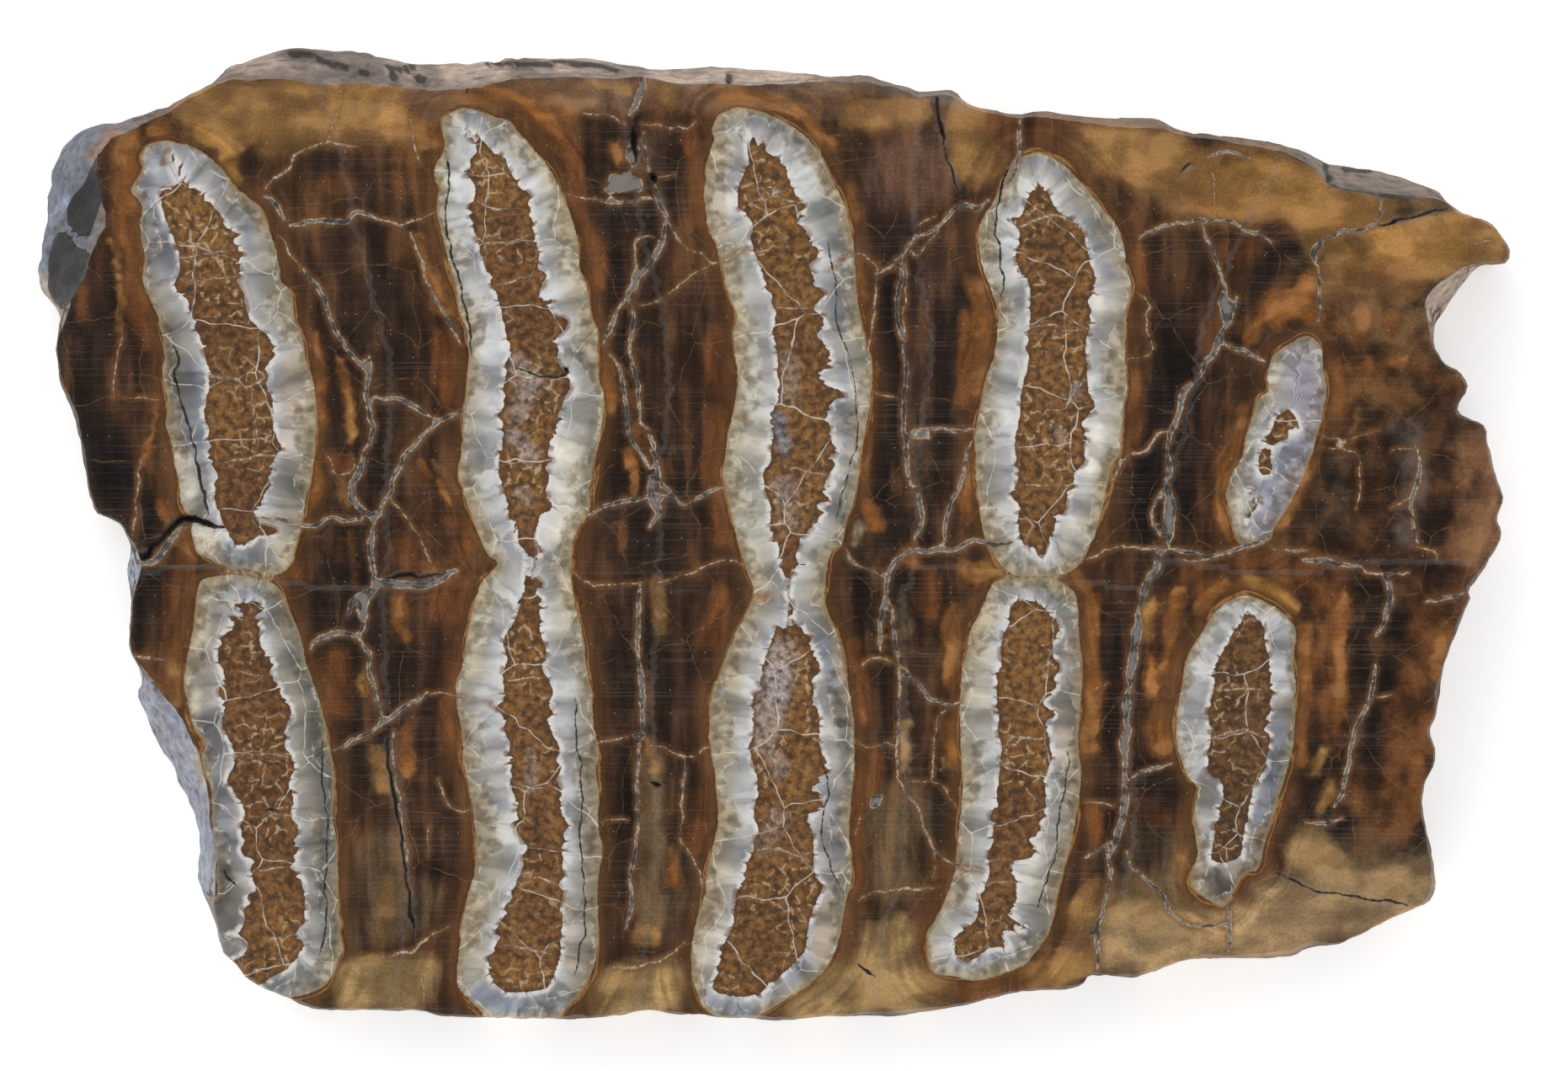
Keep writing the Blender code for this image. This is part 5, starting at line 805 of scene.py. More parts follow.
# The same for the enamel
ENAMEL_WASHES = [
    ("ash", 0.5, 1.5, [(8.8, 63.5), (9, 58), (10, 52), (11.2, 44), (11.8, 37)]),
    ("ash", 0.4, 1.5, [(14, 62), (17, 57.6), (19, 50), (19.6, 42), (19, 36)]),
    ("ash", 0.45, 1.5, [(13, 31), (13, 24), (13.8, 16), (14.5, 8), (17, 3)]),
    ("ash", 0.7, 1.6, [(18.6, 31), (20.4, 25), (21.4, 15), (21.4, 6)]),
    ("ash", 0.3, 1.6, [(12.6, 30), (13, 22), (13.8, 15), (15, 6), (19, 3)]),
    ("ash", 0.25, 1.4, [(32.6, 30), (32.6, 20), (33, 8)]),
    ("ash", 0.3, 1.2, [(40.6, 42), (40.6, 34), (40.4, 26)]),
    ("ash", 0.5, 1.4, [(40.8, 22), (41.2, 12), (40.8, 3)]),
    ("cream", 0.6, 1.4, [(51.6, 64), (53.2, 54), (53.4, 38), (54, 34)]),
    ("ash", 0.4, 1.4, [(60.2, 45), (59.6, 38), (60.2, 26), (60.2, 16), (59, 8), (57, 4)]),
    ("ash", 0.5, 1.4, [(76.8, 28), (77, 20), (76, 14), (74.4, 7)]),
    ("ash", 0.2, 1.2, [(70.4, 28), (70.4, 16), (68, 6)]),
    ("ash", 0.55, 1.8, [(91.8, 50), (90, 42), (90, 36)]),
    ("ash", 0.75, 1.8, [(95.4, 51), (95, 44), (93, 37), (91, 35)]),
    ("ash", 0.4, 1.2, [(87.6, 31), (86, 25)]),
    ("ash", 0.75, 1.5, [(93.4, 29), (92.8, 21), (91.4, 14), (88.4, 10.6)]),
    ("slate", 0.7, 1.1, [(9.2, 63.8), (9, 61), (9.4, 58.4), (9.8, 56)]),
    ("slate", 0.6, 1, [(11.6, 64.6), (13.6, 62.8)]), ("ice", 0.7, 0.5, [(9.3, 63.2), (9.5, 62.2)]),
    ("ink", 0.55, 1, [(10.2, 51.4), (11, 47.4), (11.8, 43.4)]),
    ("slate", 0.6, 0.7, [(12, 48.6), (12.4, 45), (12.6, 41)]),
    ("milk", 0.8, 0.7, [(11.4, 41.4), (11.6, 38.6)]), ("ink", 0.5, 0.3, [(12.7, 39.6), (13, 37.8)]),
    ("milk", 0.9, 0.8, [(12.4, 36), (13.4, 35.6)]), ("slate", 0.7, 0.8, [(14.6, 34.6), (16.6, 34.4)]),
    ("cream", 0.7, 0.6, [(18.2, 35.8), (18.8, 34.6)]), ("slate", 0.6, 0.5, [(15.2, 60.2), (16.2, 58)]),
    ("fawn", 0.5, 0.9, [(19.4, 49), (19.4, 46), (19.2, 43)]),
    ("smoke", 0.6, 0.5, [(19.6, 40), (19.6, 38.6)]), ("milk", 0.8, 0.4, [(17.2, 37.6), (18.6, 37.2)]),
    ("slate", 0.7, 0.7, [(14.6, 32.6), (16.6, 32)]), ("cream", 0.7, 0.5, [(12.7, 31.6), (12.4, 28)]),
    ("cream", 0.7, 0.35, [(11.9, 25), (12.2, 22.6)]),
    ("slate", 0.6, 0.8, [(13.6, 22), (13.8, 18), (14.4, 13)]),
    ("ink", 0.8, 0.55, [(14, 11.4), (14.3, 9.6), (13.9, 8.6)]),
    ("smoke", 0.7, 0.7, [(14.3, 7.8), (14.6, 5.6)]),
    ("cream", 0.5, 0.6, [(18.2, 26.8), (19.4, 23.4), (19.8, 19.6), (20.2, 15)]),
    ("smoke", 0.8, 0.55, [(19.4, 28), (20.6, 24.6), (21.4, 20.6), (21.7, 15), (21.9, 10), (21.9, 6)]),
    ("smoke", 0.5, 0.8, [(20.8, 13), (20.8, 8)]), ("slate", 0.7, 0.9, [(18.4, 2.8), (20.8, 3)]),
    ("ice", 0.8, 0.9, [(32.2, 64.8), (31.6, 60.6), (32.4, 56.6), (33.6, 52.6), (34.2, 49)]),
    ("cream", 0.7, 0.35, [(30.4, 63.8), (30.4, 62.2)]),
    ("slate", 0.8, 0.6, [(32.2, 67.2), (34.6, 66.4)]), ("cream", 0.8, 0.25, [(34, 66.7), (34.2, 66.6)]),
    ("milk", 0.7, 0.4, [(34.4, 64.9), (36, 64.7)]), ("ice", 0.8, 0.6, [(36.2, 63.8), (37.2, 62)]),
    ("cream", 0.7, 0.5, [(37.8, 63.6), (38.6, 62.4)]), ("ice", 0.7, 0.6, [(33.9, 48.4), (33.9, 46.4)]),
    ("ochre", 0.5, 0.7, [(39.4, 60.4), (40.2, 55), (40.8, 50.4)]),
    ("milk", 0.6, 0.4, [(39.6, 56.6), (39.6, 55.4)]), ("smoke", 0.6, 0.6, [(40.8, 49.4), (41.2, 46.6)]),
    ("milk", 0.7, 1, [(39.6, 42.8), (39.4, 39.8), (39.4, 37)]),
    ("smoke", 0.6, 0.3, [(41.4, 44), (41, 39.4)]), ("cream", 0.6, 0.8, [(39.6, 32.4), (39.8, 29)]),
    ("slate", 0.6, 0.4, [(33, 43.4), (33.2, 41.4)]),
    ("ice", 0.7, 0.7, [(34, 40), (34.8, 36.6), (35.8, 34.4)]),
    ("cream", 0.7, 0.7, [(33.6, 31.8), (33, 28.6), (32.4, 25.6)]),
    ("ice", 0.7, 0.8, [(33.6, 24), (33.6, 20.6)]), ("slate", 0.7, 0.4, [(34.6, 16.6), (35.2, 16)]),
    ("cream", 0.6, 0.9, [(34, 11.6), (32.8, 7), (32.8, 4)]),
    ("slate", 0.9, 0.9, [(33.4, 2), (36, 1.2), (39.4, 1.6)]),
    ("ice", 0.7, 0.7, [(39.4, 27), (39.6, 22)]),
    ("ice", 0.8, 0.4, [(39.8, 19), (39.9, 13), (40.2, 10)]),
    ("fawn", 0.8, 0.5, [(39.9, 8.4), (40, 4.4)]), ("milk", 0.5, 0.8, [(51.6, 67.2), (52, 66.2)]),
    ("slate", 0.8, 0.6, [(53.6, 66.9), (55.4, 66.2), (57.2, 65)]),
    ("ochre", 0.6, 0.5, [(50.6, 63.4), (50.7, 60.4), (51.6, 57.6)]),
    ("ice", 0.8, 0.7, [(52.2, 64.4), (51.9, 61.4), (52.6, 59)]),
    ("ice", 0.7, 1, [(53.2, 56), (54, 51), (53.9, 46)]),
    ("ochre", 0.5, 0.4, [(52.8, 52), (52.8, 47), (52, 42.4)]),
    ("pearl", 0.6, 0.9, [(53.4, 42), (53.2, 38), (54.2, 35)]),
    ("cyan", 0.8, 0.22, [(54.5, 38), (54.5, 37)]), ("copper", 0.6, 0.35, [(53.7, 31.6), (54.7, 31.5)]),
    ("ice", 0.7, 0.5, [(57, 64.6), (57.6, 62.6), (58.2, 61)]),
    ("smoke", 0.7, 0.9, [(58.8, 60.4), (60, 57), (60.6, 53)]),
    ("slate", 0.7, 0.35, [(59.4, 54.8), (60, 51.6)]), ("slate", 0.6, 0.5, [(60.2, 48), (60.3, 43.4)]),
    ("ice", 0.6, 0.5, [(59.6, 43), (59.4, 39.6)]), ("smoke", 0.7, 0.35, [(60.8, 41), (60, 37.4)]),
    ("ochre", 0.6, 0.6, [(53, 28.4), (52, 25), (51.2, 20), (51.6, 15)]),
    ("ice", 0.7, 0.6, [(52.8, 21), (52.8, 17), (52.6, 13.6)]),
    ("fawn", 0.5, 0.9, [(51.4, 11), (50.2, 6.4), (49.8, 3.4)]),
    ("slate", 0.7, 0.6, [(58.6, 28.6), (59.4, 25)]), ("smoke", 0.7, 0.6, [(60, 24), (60.2, 19)]),
    ("milk", 0.6, 0.4, [(59.3, 21.4), (59.8, 17.6)]), ("slate", 0.7, 0.5, [(59.6, 15.4), (59.2, 12.6)]),
    ("smoke", 0.6, 0.6, [(59.6, 10.6), (60, 8)]), ("fawn", 0.8, 0.6, [(58.9, 8.4), (58.4, 5.4)]),
    ("slate", 0.6, 0.6, [(57.4, 4.4), (55, 2.2)]), ("slate", 0.8, 0.8, [(50.6, 1.4), (53, 0.9)]),
    ("ice", 0.8, 0.6, [(72.7, 60.4), (72.6, 56), (73, 52)]),
    ("slate", 0.6, 0.5, [(73.2, 63.4), (75, 63.6), (76.4, 62.6)]),
    ("ice", 0.8, 0.5, [(72.6, 50), (72.2, 45), (72, 40)]),
    ("pearl", 0.6, 0.8, [(72, 36.4), (74.4, 34)]), ("smoke", 0.5, 0.7, [(77.4, 61.2), (79.4, 58.6)]),
    ("slate", 0.7, 0.5, [(79.3, 57.4), (80.2, 55.6)]), ("milk", 0.9, 0.4, [(79.3, 55.2), (79.2, 52)]),
    ("milk", 0.8, 0.6, [(78.8, 44.4), (79.2, 42), (78.6, 41)]),
    ("milk", 0.6, 0.4, [(77, 36.8), (76.4, 35)]),
    ("cream", 0.5, 1, [(70.4, 30), (70.2, 26), (70.2, 23)]),
    ("ice", 0.7, 0.5, [(71, 21), (70.7, 17), (70.2, 13)]),
    ("slate", 0.7, 0.6, [(68.6, 4.2), (71, 4.6), (73, 5)]),
    ("smoke", 0.6, 0.7, [(74.6, 32), (76.4, 31)]), ("fawn", 0.8, 0.5, [(76.4, 23.4), (76.4, 19)]),
    ("ice", 0.7, 0.4, [(75.7, 18.4), (75.6, 17.4)]), ("milk", 0.6, 0.6, [(74.4, 13), (73.8, 10.6)]),
    ("smoke", 0.5, 0.8, [(74.6, 8.4), (73.8, 6)]),
    ("lilac", 0.8, 1.4, [(94.2, 49.4), (94.6, 45), (92.6, 40), (91, 37)]),
    ("milk", 0.6, 0.5, [(92.2, 48.6), (91.6, 46)]), ("ice", 0.7, 0.6, [(91.4, 44.6), (90.4, 42)]),
    ("milk", 0.7, 0.35, [(92.6, 43.4), (93.4, 43.6)]),
    ("slate", 0.7, 0.8, [(93.6, 42.4), (92.2, 40.6), (91.8, 38.6)]),
    ("milk", 0.8, 0.35, [(89.4, 40), (89.4, 37.6), (90.2, 35.8)]),
    ("ice", 0.9, 1, [(88.6, 30.4), (86.6, 26.4), (86, 22), (86.4, 18.4)]),
    ("pearl", 0.7, 0.7, [(87.2, 16.4), (87, 13)]), ("ice", 0.8, 0.8, [(93, 29.4), (92.7, 25)]),
    ("slate", 0.8, 0.7, [(92.6, 22), (92, 18.4), (91, 15)]),
    ("mauve", 0.9, 0.9, [(87.4, 10.6), (88.4, 10)]),
]

# The same for the dentine
DENTINE_WASHES = [
    ("bole", 0.6, 2.2, [(15.6, 30), (16.6, 22), (17.6, 10)]),
    ("bole", 0.5, 2.2, [(14, 52), (15.6, 44), (15.4, 38)]), ("gold", 0.8, 1.8, [(11.6, 60), (13, 58)]),
    ("gold", 0.6, 1, [(14.4, 47), (14.2, 44)]), ("bole", 0.5, 1, [(15.4, 41), (15.6, 37)]),
    ("gold", 0.5, 1.2, [(17.6, 9.6), (17.4, 6)]), ("gold", 0.8, 1, [(33.8, 63.6), (34.8, 61.4)]),
    ("bole", 0.7, 1.2, [(35, 59.4), (35.6, 56.6), (36, 53), (37.2, 50)]),
    ("mineral", 0.8, 0.7, [(35.8, 48.6), (37.2, 47.4)]),
    ("mineral", 0.7, 0.8, [(36.2, 46.6), (36, 45)]), ("mineral", 0.8, 0.7, [(36.2, 43), (37, 42)]),
    ("mineral", 0.6, 0.5, [(36.4, 39.6), (36.8, 39)]), ("bole", 0.6, 0.7, [(37, 36.8), (37, 30)]),
    ("mineral", 0.5, 0.5, [(37, 20), (37.2, 17.4)]), ("bole", 0.6, 1, [(37.6, 15.4), (37.8, 12)]),
    ("bole", 0.5, 1, [(37, 9), (37.4, 7)]), ("gold", 0.7, 1.4, [(36, 4), (37.4, 3.6)]),
    ("bole", 0.6, 0.9, [(56.6, 52), (57.4, 50)]), ("mineral", 0.5, 0.8, [(56, 49), (56.2, 46.6)]),
    ("slate", 0.8, 0.7, [(55.6, 44.6), (55.9, 42.6)]), ("mineral", 0.5, 0.9, [(55.8, 39.6), (56, 37)]),
    ("bole", 0.7, 0.5, [(56.2, 35.6), (56.2, 33)]),
    ("mineral", 0.95, 1.3, [(55.4, 27.2), (55, 24.6), (54.6, 22)]),
    ("lilac", 0.5, 0.8, [(55, 26), (55.2, 24)]), ("mineral", 0.6, 0.7, [(54.4, 20.6), (55.4, 18.6)]),
    ("mineral", 0.4, 0.7, [(55.4, 15), (54.6, 13.2)]), ("nut", 0.6, 1.4, [(55.4, 10), (54.4, 5)]),
    ("bole", 0.6, 1.6, [(75.4, 58), (75.8, 53)]), ("slate", 0.7, 0.5, [(77.2, 46.6), (77.8, 47.2)]),
    ("mineral", 0.4, 0.5, [(76, 44), (76.2, 43)]), ("bole", 0.5, 0.8, [(75, 38.4), (74.6, 36.6)]),
    ("gold", 0.5, 1, [(73.8, 27), (73.4, 23)]), ("bole", 0.5, 1, [(73.4, 18.6), (73, 14)]),
    ("umber", 0.55, 2.4, [(90, 29), (89.6, 24), (89.2, 18), (88.8, 12)]),
    ("bole", 0.5, 1.6, [(72, 16), (71, 9)]),
]

# The same for the natural skin
SKIN_WASHES = [
    ("steel", 0.95, 2.6, [(1, 56), (1.8, 60), (2.6, 64), (5, 66)]),
    ("buff", 0.7, 0.5, [(0.5, 55.2), (1, 53.8), (1.8, 52.6)]),
    ("mauve", 0.7, 0.8, [(5.4, 66.2), (8.6, 67)]), ("clay", 0.8, 0.6, [(4.6, 64.6), (6, 65.6)]),
    ("frost", 0.8, 0.4, [(2.3, 61), (1.6, 59.4)]),
    ("buff", 0.6, 0.9, [(15.4, 70.9), (19, 70.9), (21.4, 70.8)]),
    ("mauve", 0.8, 0.5, [(15, 70.1), (20, 70.2), (25, 70)]),
    ("mauve", 0.8, 0.7, [(19, 71.9), (22, 71.6), (25, 71.2)]),
    ("buff", 0.6, 0.5, [(26.6, 70.6), (28.4, 70.6)]), ("buff", 0.8, 0.9, [(31, 70.6), (34.4, 70.5)]),
    ("mauve", 0.7, 0.4, [(35, 71.5), (37, 71.3)]), ("buff", 0.8, 0.8, [(38, 71.2), (43, 70.9)]),
    ("mauve", 0.6, 0.35, [(38, 70.4), (44, 70.4)]),
    ("buff", 0.9, 0.8, [(46.4, 70.3), (51, 70.2), (57, 70.2)]),
    ("mauve", 0.7, 0.35, [(47.6, 70.5), (49.6, 70.6)]),
    ("buff", 0.7, 1, [(57.6, 70.2), (62, 69.6), (66, 69.2)]),
    ("mauve", 0.6, 0.8, [(76, 67.2), (84, 66.6), (94, 64.8)]),
    ("crust", 0.8, 0.8, [(97, 63), (100.6, 62.3), (103.6, 61.6)]),
    ("buff", 0.9, 1.6, [(104, 52.8), (106.2, 54.6)]),
    ("frost", 0.7, 2.4, [(8.6, 24.4), (9.8, 21.4), (11.4, 18.4), (12.4, 15)]),
    ("frost", 0.8, 1.2, [(12.6, 12), (12.8, 9.6)]), ("buff", 0.5, 0.5, [(12.2, 19.8), (12.8, 17.8)]),
    ("frost", 0.9, 1.2, [(7, 33), (7.2, 34.6)]),
]

# Dark broken facets in the natural skin on the left
FACETS = [
    [
        (5.5, 64.3), (5.7, 63.5), (5.3, 61.3), (4.6, 59.5), (4.1, 57.9), (3.3, 58.4), (2.5, 59.3),
        (2.4, 60.4), (3.0, 61.4), (3.8, 62.2), (4.2, 63.2), (4.7, 64.1),
    ],
    [
        (2.0, 58.8), (1.4, 58.2), (1.1, 57.0), (1.0, 55.8), (0.9, 54.6), (1.3, 53.6), (2.0, 52.9),
        (2.6, 53.2), (3.3, 54.0), (4.0, 55.6), (4.3, 57.0), (3.2, 57.5), (2.7, 58.3),
    ],
]

# Marks in the natural crust along the top: grooves, then pits, cut into the wall and darkened with painted
# shade
CRUST_GROOVES = [
    (0.22, [(19.3, 71.9), (21.0, 71.5), (23.0, 70.8), (25.0, 70.45)]),
    (0.14, [(34.0, 71.0), (36.4, 71.0), (39.0, 71.1), (42.0, 70.9), (43.6, 70.5)]),
    (0.14, [(26.4, 70.9), (27.2, 70.6), (28.4, 70.9)]),
    (0.3, [(26.8, 70.2), (27.0, 69.9)]),
    (0.36, [(28.6, 70.1), (29.0, 69.9)]),
    (0.16, [(51.8, 70.1), (51.9, 69.2), (52.3, 68.6)]),
    (0.12, [(97.6, 63.2), (99.6, 63.1)]),
    (0.14, [(96.3, 63.4), (96.5, 62.0), (98.0, 61.5), (100.5, 61.2), (103.5, 61.0)]),
]


def linear(colour):
    """A display colour as linear light."""
    share = np.array(colour) / 255
    return np.where(share < 0.04045, share / 12.92, ((share + 0.055) / 1.055) ** 2.4)


def smoothstep(low, high, values):
    """From 0 at low to 1 at high, level at both ends."""
    t = np.clip((values - low) / (high - low), 0, 1)
    return t * t * (3 - 2 * t)


def wander(points, size, seed):
    """Smooth noise from -1 to 1 over 2-D or 3-D points, with features about one size across.

    Each use has a seed of its own, so that no two patterns run together.
    """
    table = np.random.default_rng(seed).uniform(-1, 1, (64, 64, 16))
    cell = np.asarray(points, float) / size
    if cell.shape[1] == 2:
        cell = np.column_stack([cell, np.full(len(cell), 0.5)])
    base = np.floor(cell).astype(int)
    t = cell - base
    t = t * t * (3 - 2 * t)
    total = np.zeros(len(cell))
    for corner in itertools.product((0, 1), repeat=3):
        weight = np.prod(np.where(corner, t, 1 - t), axis=1)
        at = base + corner
        total += weight * table[at[:, 0] % 64, at[:, 1] % 64, at[:, 2] % 16]
    return total


def smooth_path(points, step, closed=False):
    """Points about one step apart along a Catmull-Rom curve through the given ones."""
    marks = np.array(points, float)
    if len(marks) == 1:
        return marks
    ring = np.vstack([marks[-1:], marks, marks[:2]]) if closed else np.vstack([marks[:1], marks, marks[-1:]])
    a, b, c, d = ring[:-3], ring[1:-2], ring[2:-1], ring[3:]
    t = np.linspace(0, 1, 8, endpoint=False)[:, None, None]
    square, cube = 2 * a - 5 * b + 4 * c - d, 3 * b - a - 3 * c + d
    fine = 0.5 * (2 * b + (c - a) * t + square * t ** 2 + cube * t ** 3)
    fine = fine.transpose(1, 0, 2).reshape(-1, marks.shape[1])
    fine = np.vstack([fine, fine[:1] if closed else marks[-1:]])
    runs = np.concatenate([[0], np.cumsum(np.hypot(*np.diff(fine[:, :2], axis=0).T))])
    count = max(2, round(runs[-1] / step))
    targets = np.linspace(0, runs[-1], count + 1)
    if closed:
        targets = targets[:-1]
    return np.column_stack([np.interp(targets, runs, column) for column in fine.T])


def inside(outline, points):
    """Which points lie inside a closed outline."""
    odd = np.zeros(len(points), bool)
    low, high = outline.min(0), outline.max(0)
    near = np.nonzero(np.all((points >= low) & (points <= high), axis=1))[0]
    x, y = points[near].T
    hits = np.zeros(len(near), bool)
    for (x0, y0), (x1, y1) in zip(outline, np.roll(outline, -1, axis=0)):
        if y0 != y1:
            spans = (y0 > y) != (y1 > y)
            hits ^= spans & (x < (x1 - x0) * (y - y0) / (y1 - y0) + x0)
    odd[near] = hits
    return odd


class Lines:
    """A set of sampled lines that answers how far a point is from the nearest one."""

    def __init__(self, paths, closed):
        self.spots = np.vstack(paths)
        after, before = [], []
        start = 0
        for path in paths:
            index = np.arange(len(path))
            if closed:
                after.append(start + (index + 1) % len(path))
                before.append(start + (index - 1) % len(path))
            else:
                after.append(start + np.minimum(index + 1, len(path) - 1))
                before.append(start + np.maximum(index - 1, 0))
            start += len(path)
        self.after = np.concatenate(after)
        self.before = np.concatenate(before)
        self.tree = KDTree(len(self.spots))
        for i, (x, y) in enumerate(self.spots):
            self.tree.insert((x, y, 0), i)
        self.tree.balance()

    def nearest(self, points):
        """The distance to the nearest line and the index of its nearest sample."""
        index = np.array([self.tree.find((x, y, 0))[1] for x, y in points])
        best = np.full(len(points), np.inf)
        for neighbour in (self.after, self.before):
            a = self.spots[index]
            span = self.spots[neighbour[index]] - a
            reach = np.maximum((span ** 2).sum(1), 1e-12)
            t = np.clip(((points - a) * span).sum(1) / reach, 0, 1)
            best = np.minimum(best, np.hypot(*(points - a - span * t[:, None]).T))
        return best, index

    def nearest_spot(self, points):
        """The distance to the nearest sample, whatever line it is on."""
        return np.array([self.tree.find((x, y, 0))[2] for x, y in points])


def edge_stations():
    """Places along the widest outline, the way inwards from each, and the skin's width there."""
    curve = smooth_path(EDGE, 0.05, closed=True)
    low, high = curve[:, :2].min(0), curve[:, :2].max(0)
    curve[:, :2] = (curve[:, :2] - low) * (np.array([LENGTH, WIDTH]) / (high - low))
    pick = np.linspace(0, len(curve), STATIONS, endpoint=False).astype(int)
    curve = curve[pick]
    places = curve[:, :2]
    along = np.roll(places, -NORMAL_SPAN, axis=0) - np.roll(places, NORMAL_SPAN, axis=0)
    inwards = np.column_stack([along[:, 1], -along[:, 0]])
    inwards /= np.linalg.norm(inwards, axis=1)[:, None]
    return places, inwards, curve[:, 2]


def wobble(path, amount, size, seed):
    """Gives a line the small irregular turns of a natural crack."""
    shift = np.column_stack([wander(path, size, seed), wander(path, size, seed + 1)])
    return path + amount * shift


def crack_lines(cracks, step, seed):
    """Each crack's wandering line, with its half width at every point."""
    paths, widths = [], []
    for number, (half_width, points) in enumerate(cracks):
        path = wobble(smooth_path(points, step), 0.2, 0.8, seed)
        path = wobble(path, 0.1, 0.4, seed + 7)
        runs = np.concatenate([[0], np.cumsum(np.hypot(*np.diff(path, axis=0).T))])
        ends = np.minimum(runs, runs[-1] - runs)
        taper = 0.45 + 0.55 * smoothstep(0, min(1.2, runs[-1] / 3), ends)
        swell = 0.85 + 0.4 * wander(path + number, 0.8, seed + 3)
        paths.append(path)
        widths.append(CRACK_WIDTH * half_width * taper * swell)
    return paths, np.concatenate(widths)


class FacePlan:
    """Points and lines of a flat face, joined where they come closer than the snap distance."""

    def __init__(self, rim):
        self.rim = rim
        self.rim_lines = Lines([rim], closed=True)
        self.points = [tuple(p) for p in rim]
        self.edges = [(i, (i + 1) % len(rim)) for i in range(len(rim))]
        self.cells = {}

    def spot(self, x, y):
        """The index of a point here, new or already there."""
        column, row = int(x // SNAP), int(y // SNAP)
        for i, j in itertools.product((-1, 0, 1), repeat=2):
            for index in self.cells.get((column + i, row + j), ()):
                if math.dist(self.points[index], (x, y)) < SNAP:
                    return index
        self.points.append((x, y))
        self.cells.setdefault((column, row), []).append(len(self.points) - 1)
        return len(self.points) - 1

    def clear_of_rim(self, path, clearance):
        return inside(self.rim, path) & (self.rim_lines.nearest(path)[0] > clearance)

    def line(self, path, closed=False, joined=True):
        """Adds a line's points, and its edges if the points are to stay joined."""
        keep = self.clear_of_rim(path, RIM_CLEARANCE)
        spots = [self.spot(x, y) if ok else None for (x, y), ok in zip(path, keep)]
        following = spots[1:] + spots[:1] if closed else spots[1:]
        if joined:
            pairs = zip(spots, following)
            self.edges += [(a, b) for a, b in pairs if a is not None and b is not None and a != b]

    def lattice(self, spacing):
        """Fills the rest of the face with points about one spacing apart."""
        rows = np.arange(0, WIDTH, spacing * math.sqrt(3) / 2)
        columns = np.arange(0, LENGTH, spacing)
        grid = np.array([(x + (spacing / 2) * (j % 2), y) for j, y in enumerate(rows) for x in columns])
        jitter = np.random.default_rng(11).uniform(-0.18, 0.18, grid.shape) * spacing
        grid = grid + jitter
        grid = grid[self.clear_of_rim(grid, spacing * 0.6)]
        marks = np.array(self.points[len(self.rim):])
        if len(marks):
            grid = grid[Lines([marks], closed=False).nearest_spot(grid) > spacing * 0.55]
        self.points += [tuple(p) for p in grid]

    def triangles(self):
        """The face's points and triangles, and where the rim's points are among them."""
        rim_count = len(self.rim)
        found = delaunay_2d_cdt([Vector(p) for p in self.points], self.edges, [], 1, 1e-6)
        place = {}
        for index, sources in enumerate(found[3]):
            for source in sources:
                if source < rim_count:
                    place[source] = index
        points = np.array([tuple(spot) for spot in found[0]])
        faces = np.array([tuple(face) for face in found[2]])
        return points, faces, np.array([place[i] for i in range(rim_count)])


def wall_grid():
    """The broken edge as a smooth grid of points, ring by ring from the back up."""
    places, inwards, skin = edge_stations()
    chips = 0.2 * np.maximum(wander(places, 0.9, 21), 0) + 0.06 * (1 + wander(places, 0.4, 22))
    angle = 2 * math.pi * np.arange(STATIONS) / STATIONS
    tuck = BACK_TUCK * (1 + 0.35 * np.sin(7 * angle) * np.cos(11 * angle))
    rings = []
    for share in np.linspace(1, 0, LOWER_RINGS, endpoint=False):
        inset = tuck * share ** 2
        height = WIDEST_AT * (1 - share)
        rings.append(np.column_stack([places + inwards * inset[:, None], np.full(STATIONS, height)]))
    for share in np.linspace(0, 1, UPPER_RINGS):
        inset = skin * share ** SKIN_CURVE + chips * share ** 6
        height = WIDEST_AT + (1 - WIDEST_AT) * share
        rings.append(np.column_stack([places + inwards * inset[:, None], np.full(STATIONS, height)]))
    grid = np.array(rings)
    grid[:, :, 2] *= THICKNESS
    return grid, skin


def outward(grid):
    """The outward direction at each point of the wall."""
    along = np.roll(grid, -2, axis=1) - np.roll(grid, 2, axis=1)
    up = np.gradient(grid, axis=0)
    normal = np.cross(up, along)
    normal /= np.linalg.norm(normal, axis=2)[:, :, None]
    centre = grid.mean(axis=(0, 1))
    if ((grid - centre) * normal).sum() < 0:
        normal = -normal
    return normal


def groove_depth(flat, grooves):
    """How deep each groove cuts at flat points of the skin."""
    depth = np.zeros(len(flat))
    for half_width, points in grooves:
        path = wobble(smooth_path(points, 0.1), 0.12, 0.8, 31)
        far = Lines([path], closed=False).nearest(flat)[0]
        depth = np.maximum(depth, GROOVE_DEPTH * (1 - smoothstep(0.3 * half_width, half_width + 0.2, far)))
    return depth


def facet_reach(flat):
    """How far inside a broken facet each flat point lies; negative outside."""
    reach = np.full(len(flat), OUTSIDE)
    for points in FACETS:
        outline = wobble(smooth_path(np.repeat(points, 2, axis=0), 0.1, closed=True), 0.08, 0.7, 33)
        far = Lines([outline], closed=True).nearest(flat)[0]
        reach = np.maximum(reach, np.where(inside(outline, flat), far, -far))
    return reach


